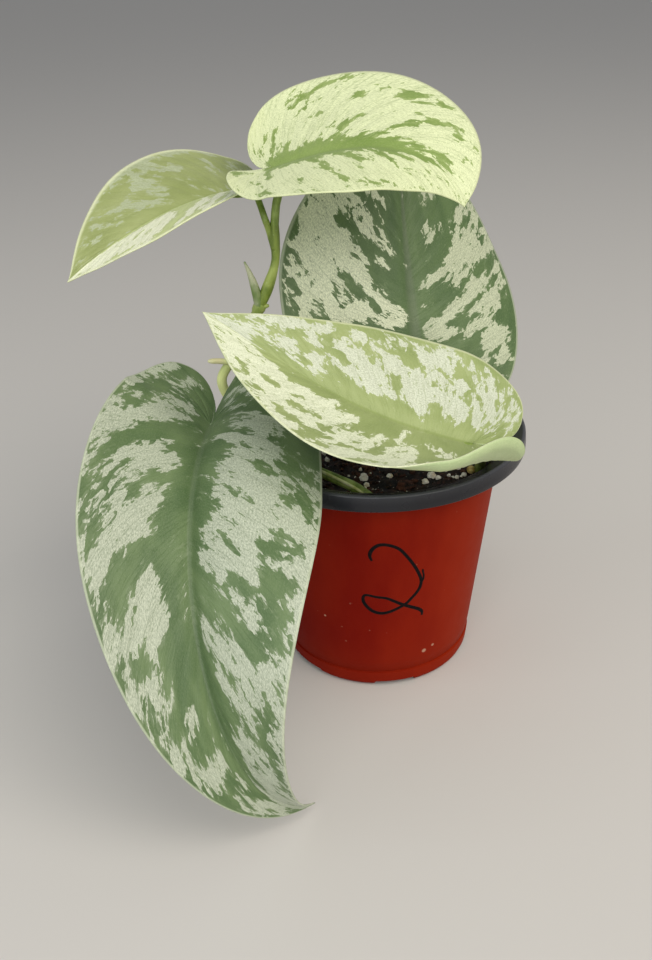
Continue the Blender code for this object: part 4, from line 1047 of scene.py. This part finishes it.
# Its right half's dimmer silvers are painted shade, a shaded copy of the left half's.
right_skin = leaf_skin(
    "right_leaf_skin", right, ((0.26, 0.33, 0.105), (0.36, 0.43, 0.165)), (0.46, 0.52, 0.27),
    ((0.60, 0.65, 0.44), (0.92, 0.95, 0.74)), (0.25, 0.33, 0.085), (0.76, 0.80, 0.52), 0.022, 17.0,
    (((0.48, 0.52, 0.38), (0.76, 0.80, 0.65)), None),
)
right_under = leaf_back_skin("right_leaf_underside", right, (0.42, 0.54, 0.26), (0.56, 0.66, 0.36))
grow_leaf("leaf_right", right, "pale_green_leaf", right_skin, right_under, stalk_rind)


# The plant stands on a plain floor of matt pale paper, wide enough to fill the view.
FLOOR_REACH = 14
floor_sheet = bmesh.new()
bmesh.ops.create_grid(floor_sheet, x_segments=1, y_segments=1, size=FLOOR_REACH)
floor_mesh = bpy.data.meshes.new("floor")
floor_sheet.to_mesh(floor_mesh)
floor_sheet.free()
floor = bpy.data.objects.new("floor", floor_mesh)
bpy.context.scene.collection.objects.link(floor)
pale, tree, shader = new_finish("floor_paper", 0.9)
shader.inputs["Base Color"].default_value = (0.62, 0.60, 0.57, 1)
floor_mesh.materials.append(pale)

# Soft studio light: a broad warm window at the upper right, a weaker fill from low in front, a small one at
# the left, and a dim even sky. All three lamps point at the middle of the plant.
LAMPS = (
    ("window", (0.54, -0.64, 1.04), 1.1, 12.0, (1.0, 0.94, 0.84)),
    ("front_fill", (-0.25, -1.18, 0.66), 1.0, 4.8, (0.97, 0.99, 1.0)),
    ("left_fill", (-0.95, -0.45, 0.50), 0.8, 2.6, (0.95, 0.98, 1.0)),
)
LIT_PLACE = Vector((0, 0, 0.1))
SKY_STRENGTH = 0.34
world = bpy.context.scene.world or bpy.data.worlds.new("studio")
bpy.context.scene.world = world
world.use_nodes = True
sky = world.node_tree.nodes["Background"]
sky.inputs["Color"].default_value = (0.95, 0.97, 1.0, 1)
sky.inputs["Strength"].default_value = SKY_STRENGTH
for name, place, size, power, colour in LAMPS:
    lamp = bpy.data.lights.new(name, "AREA")
    lamp.energy = power
    lamp.size = size
    lamp.color = colour
    stand = bpy.data.objects.new(name, lamp)
    stand.location = place
    stand.rotation_euler = (LIT_PLACE - Vector(place)).to_track_quat("-Z", "Y").to_euler()
    bpy.context.scene.collection.objects.link(stand)

# The camera looks down on the plant from close in front, as a hand-held one does.
CAMERA_PLACE = (-0.0183, -0.3185, 0.2466)
LOOK_DOWN = 29.3
LEAN = -1.78
lens = bpy.data.cameras.new("camera")
lens.lens = 37.5
lens.sensor_width = 36
lens.clip_start = 0.01
camera = bpy.data.objects.new("camera", lens)
look = Matrix.Rotation(math.radians(90 - LOOK_DOWN), 4, "X") @ Matrix.Rotation(math.radians(LEAN), 4, "Z")
camera.matrix_world = Matrix.Translation(CAMERA_PLACE) @ look
bpy.context.scene.collection.objects.link(camera)
bpy.context.scene.camera = camera
bpy.context.scene.view_settings.view_transform = "Standard"
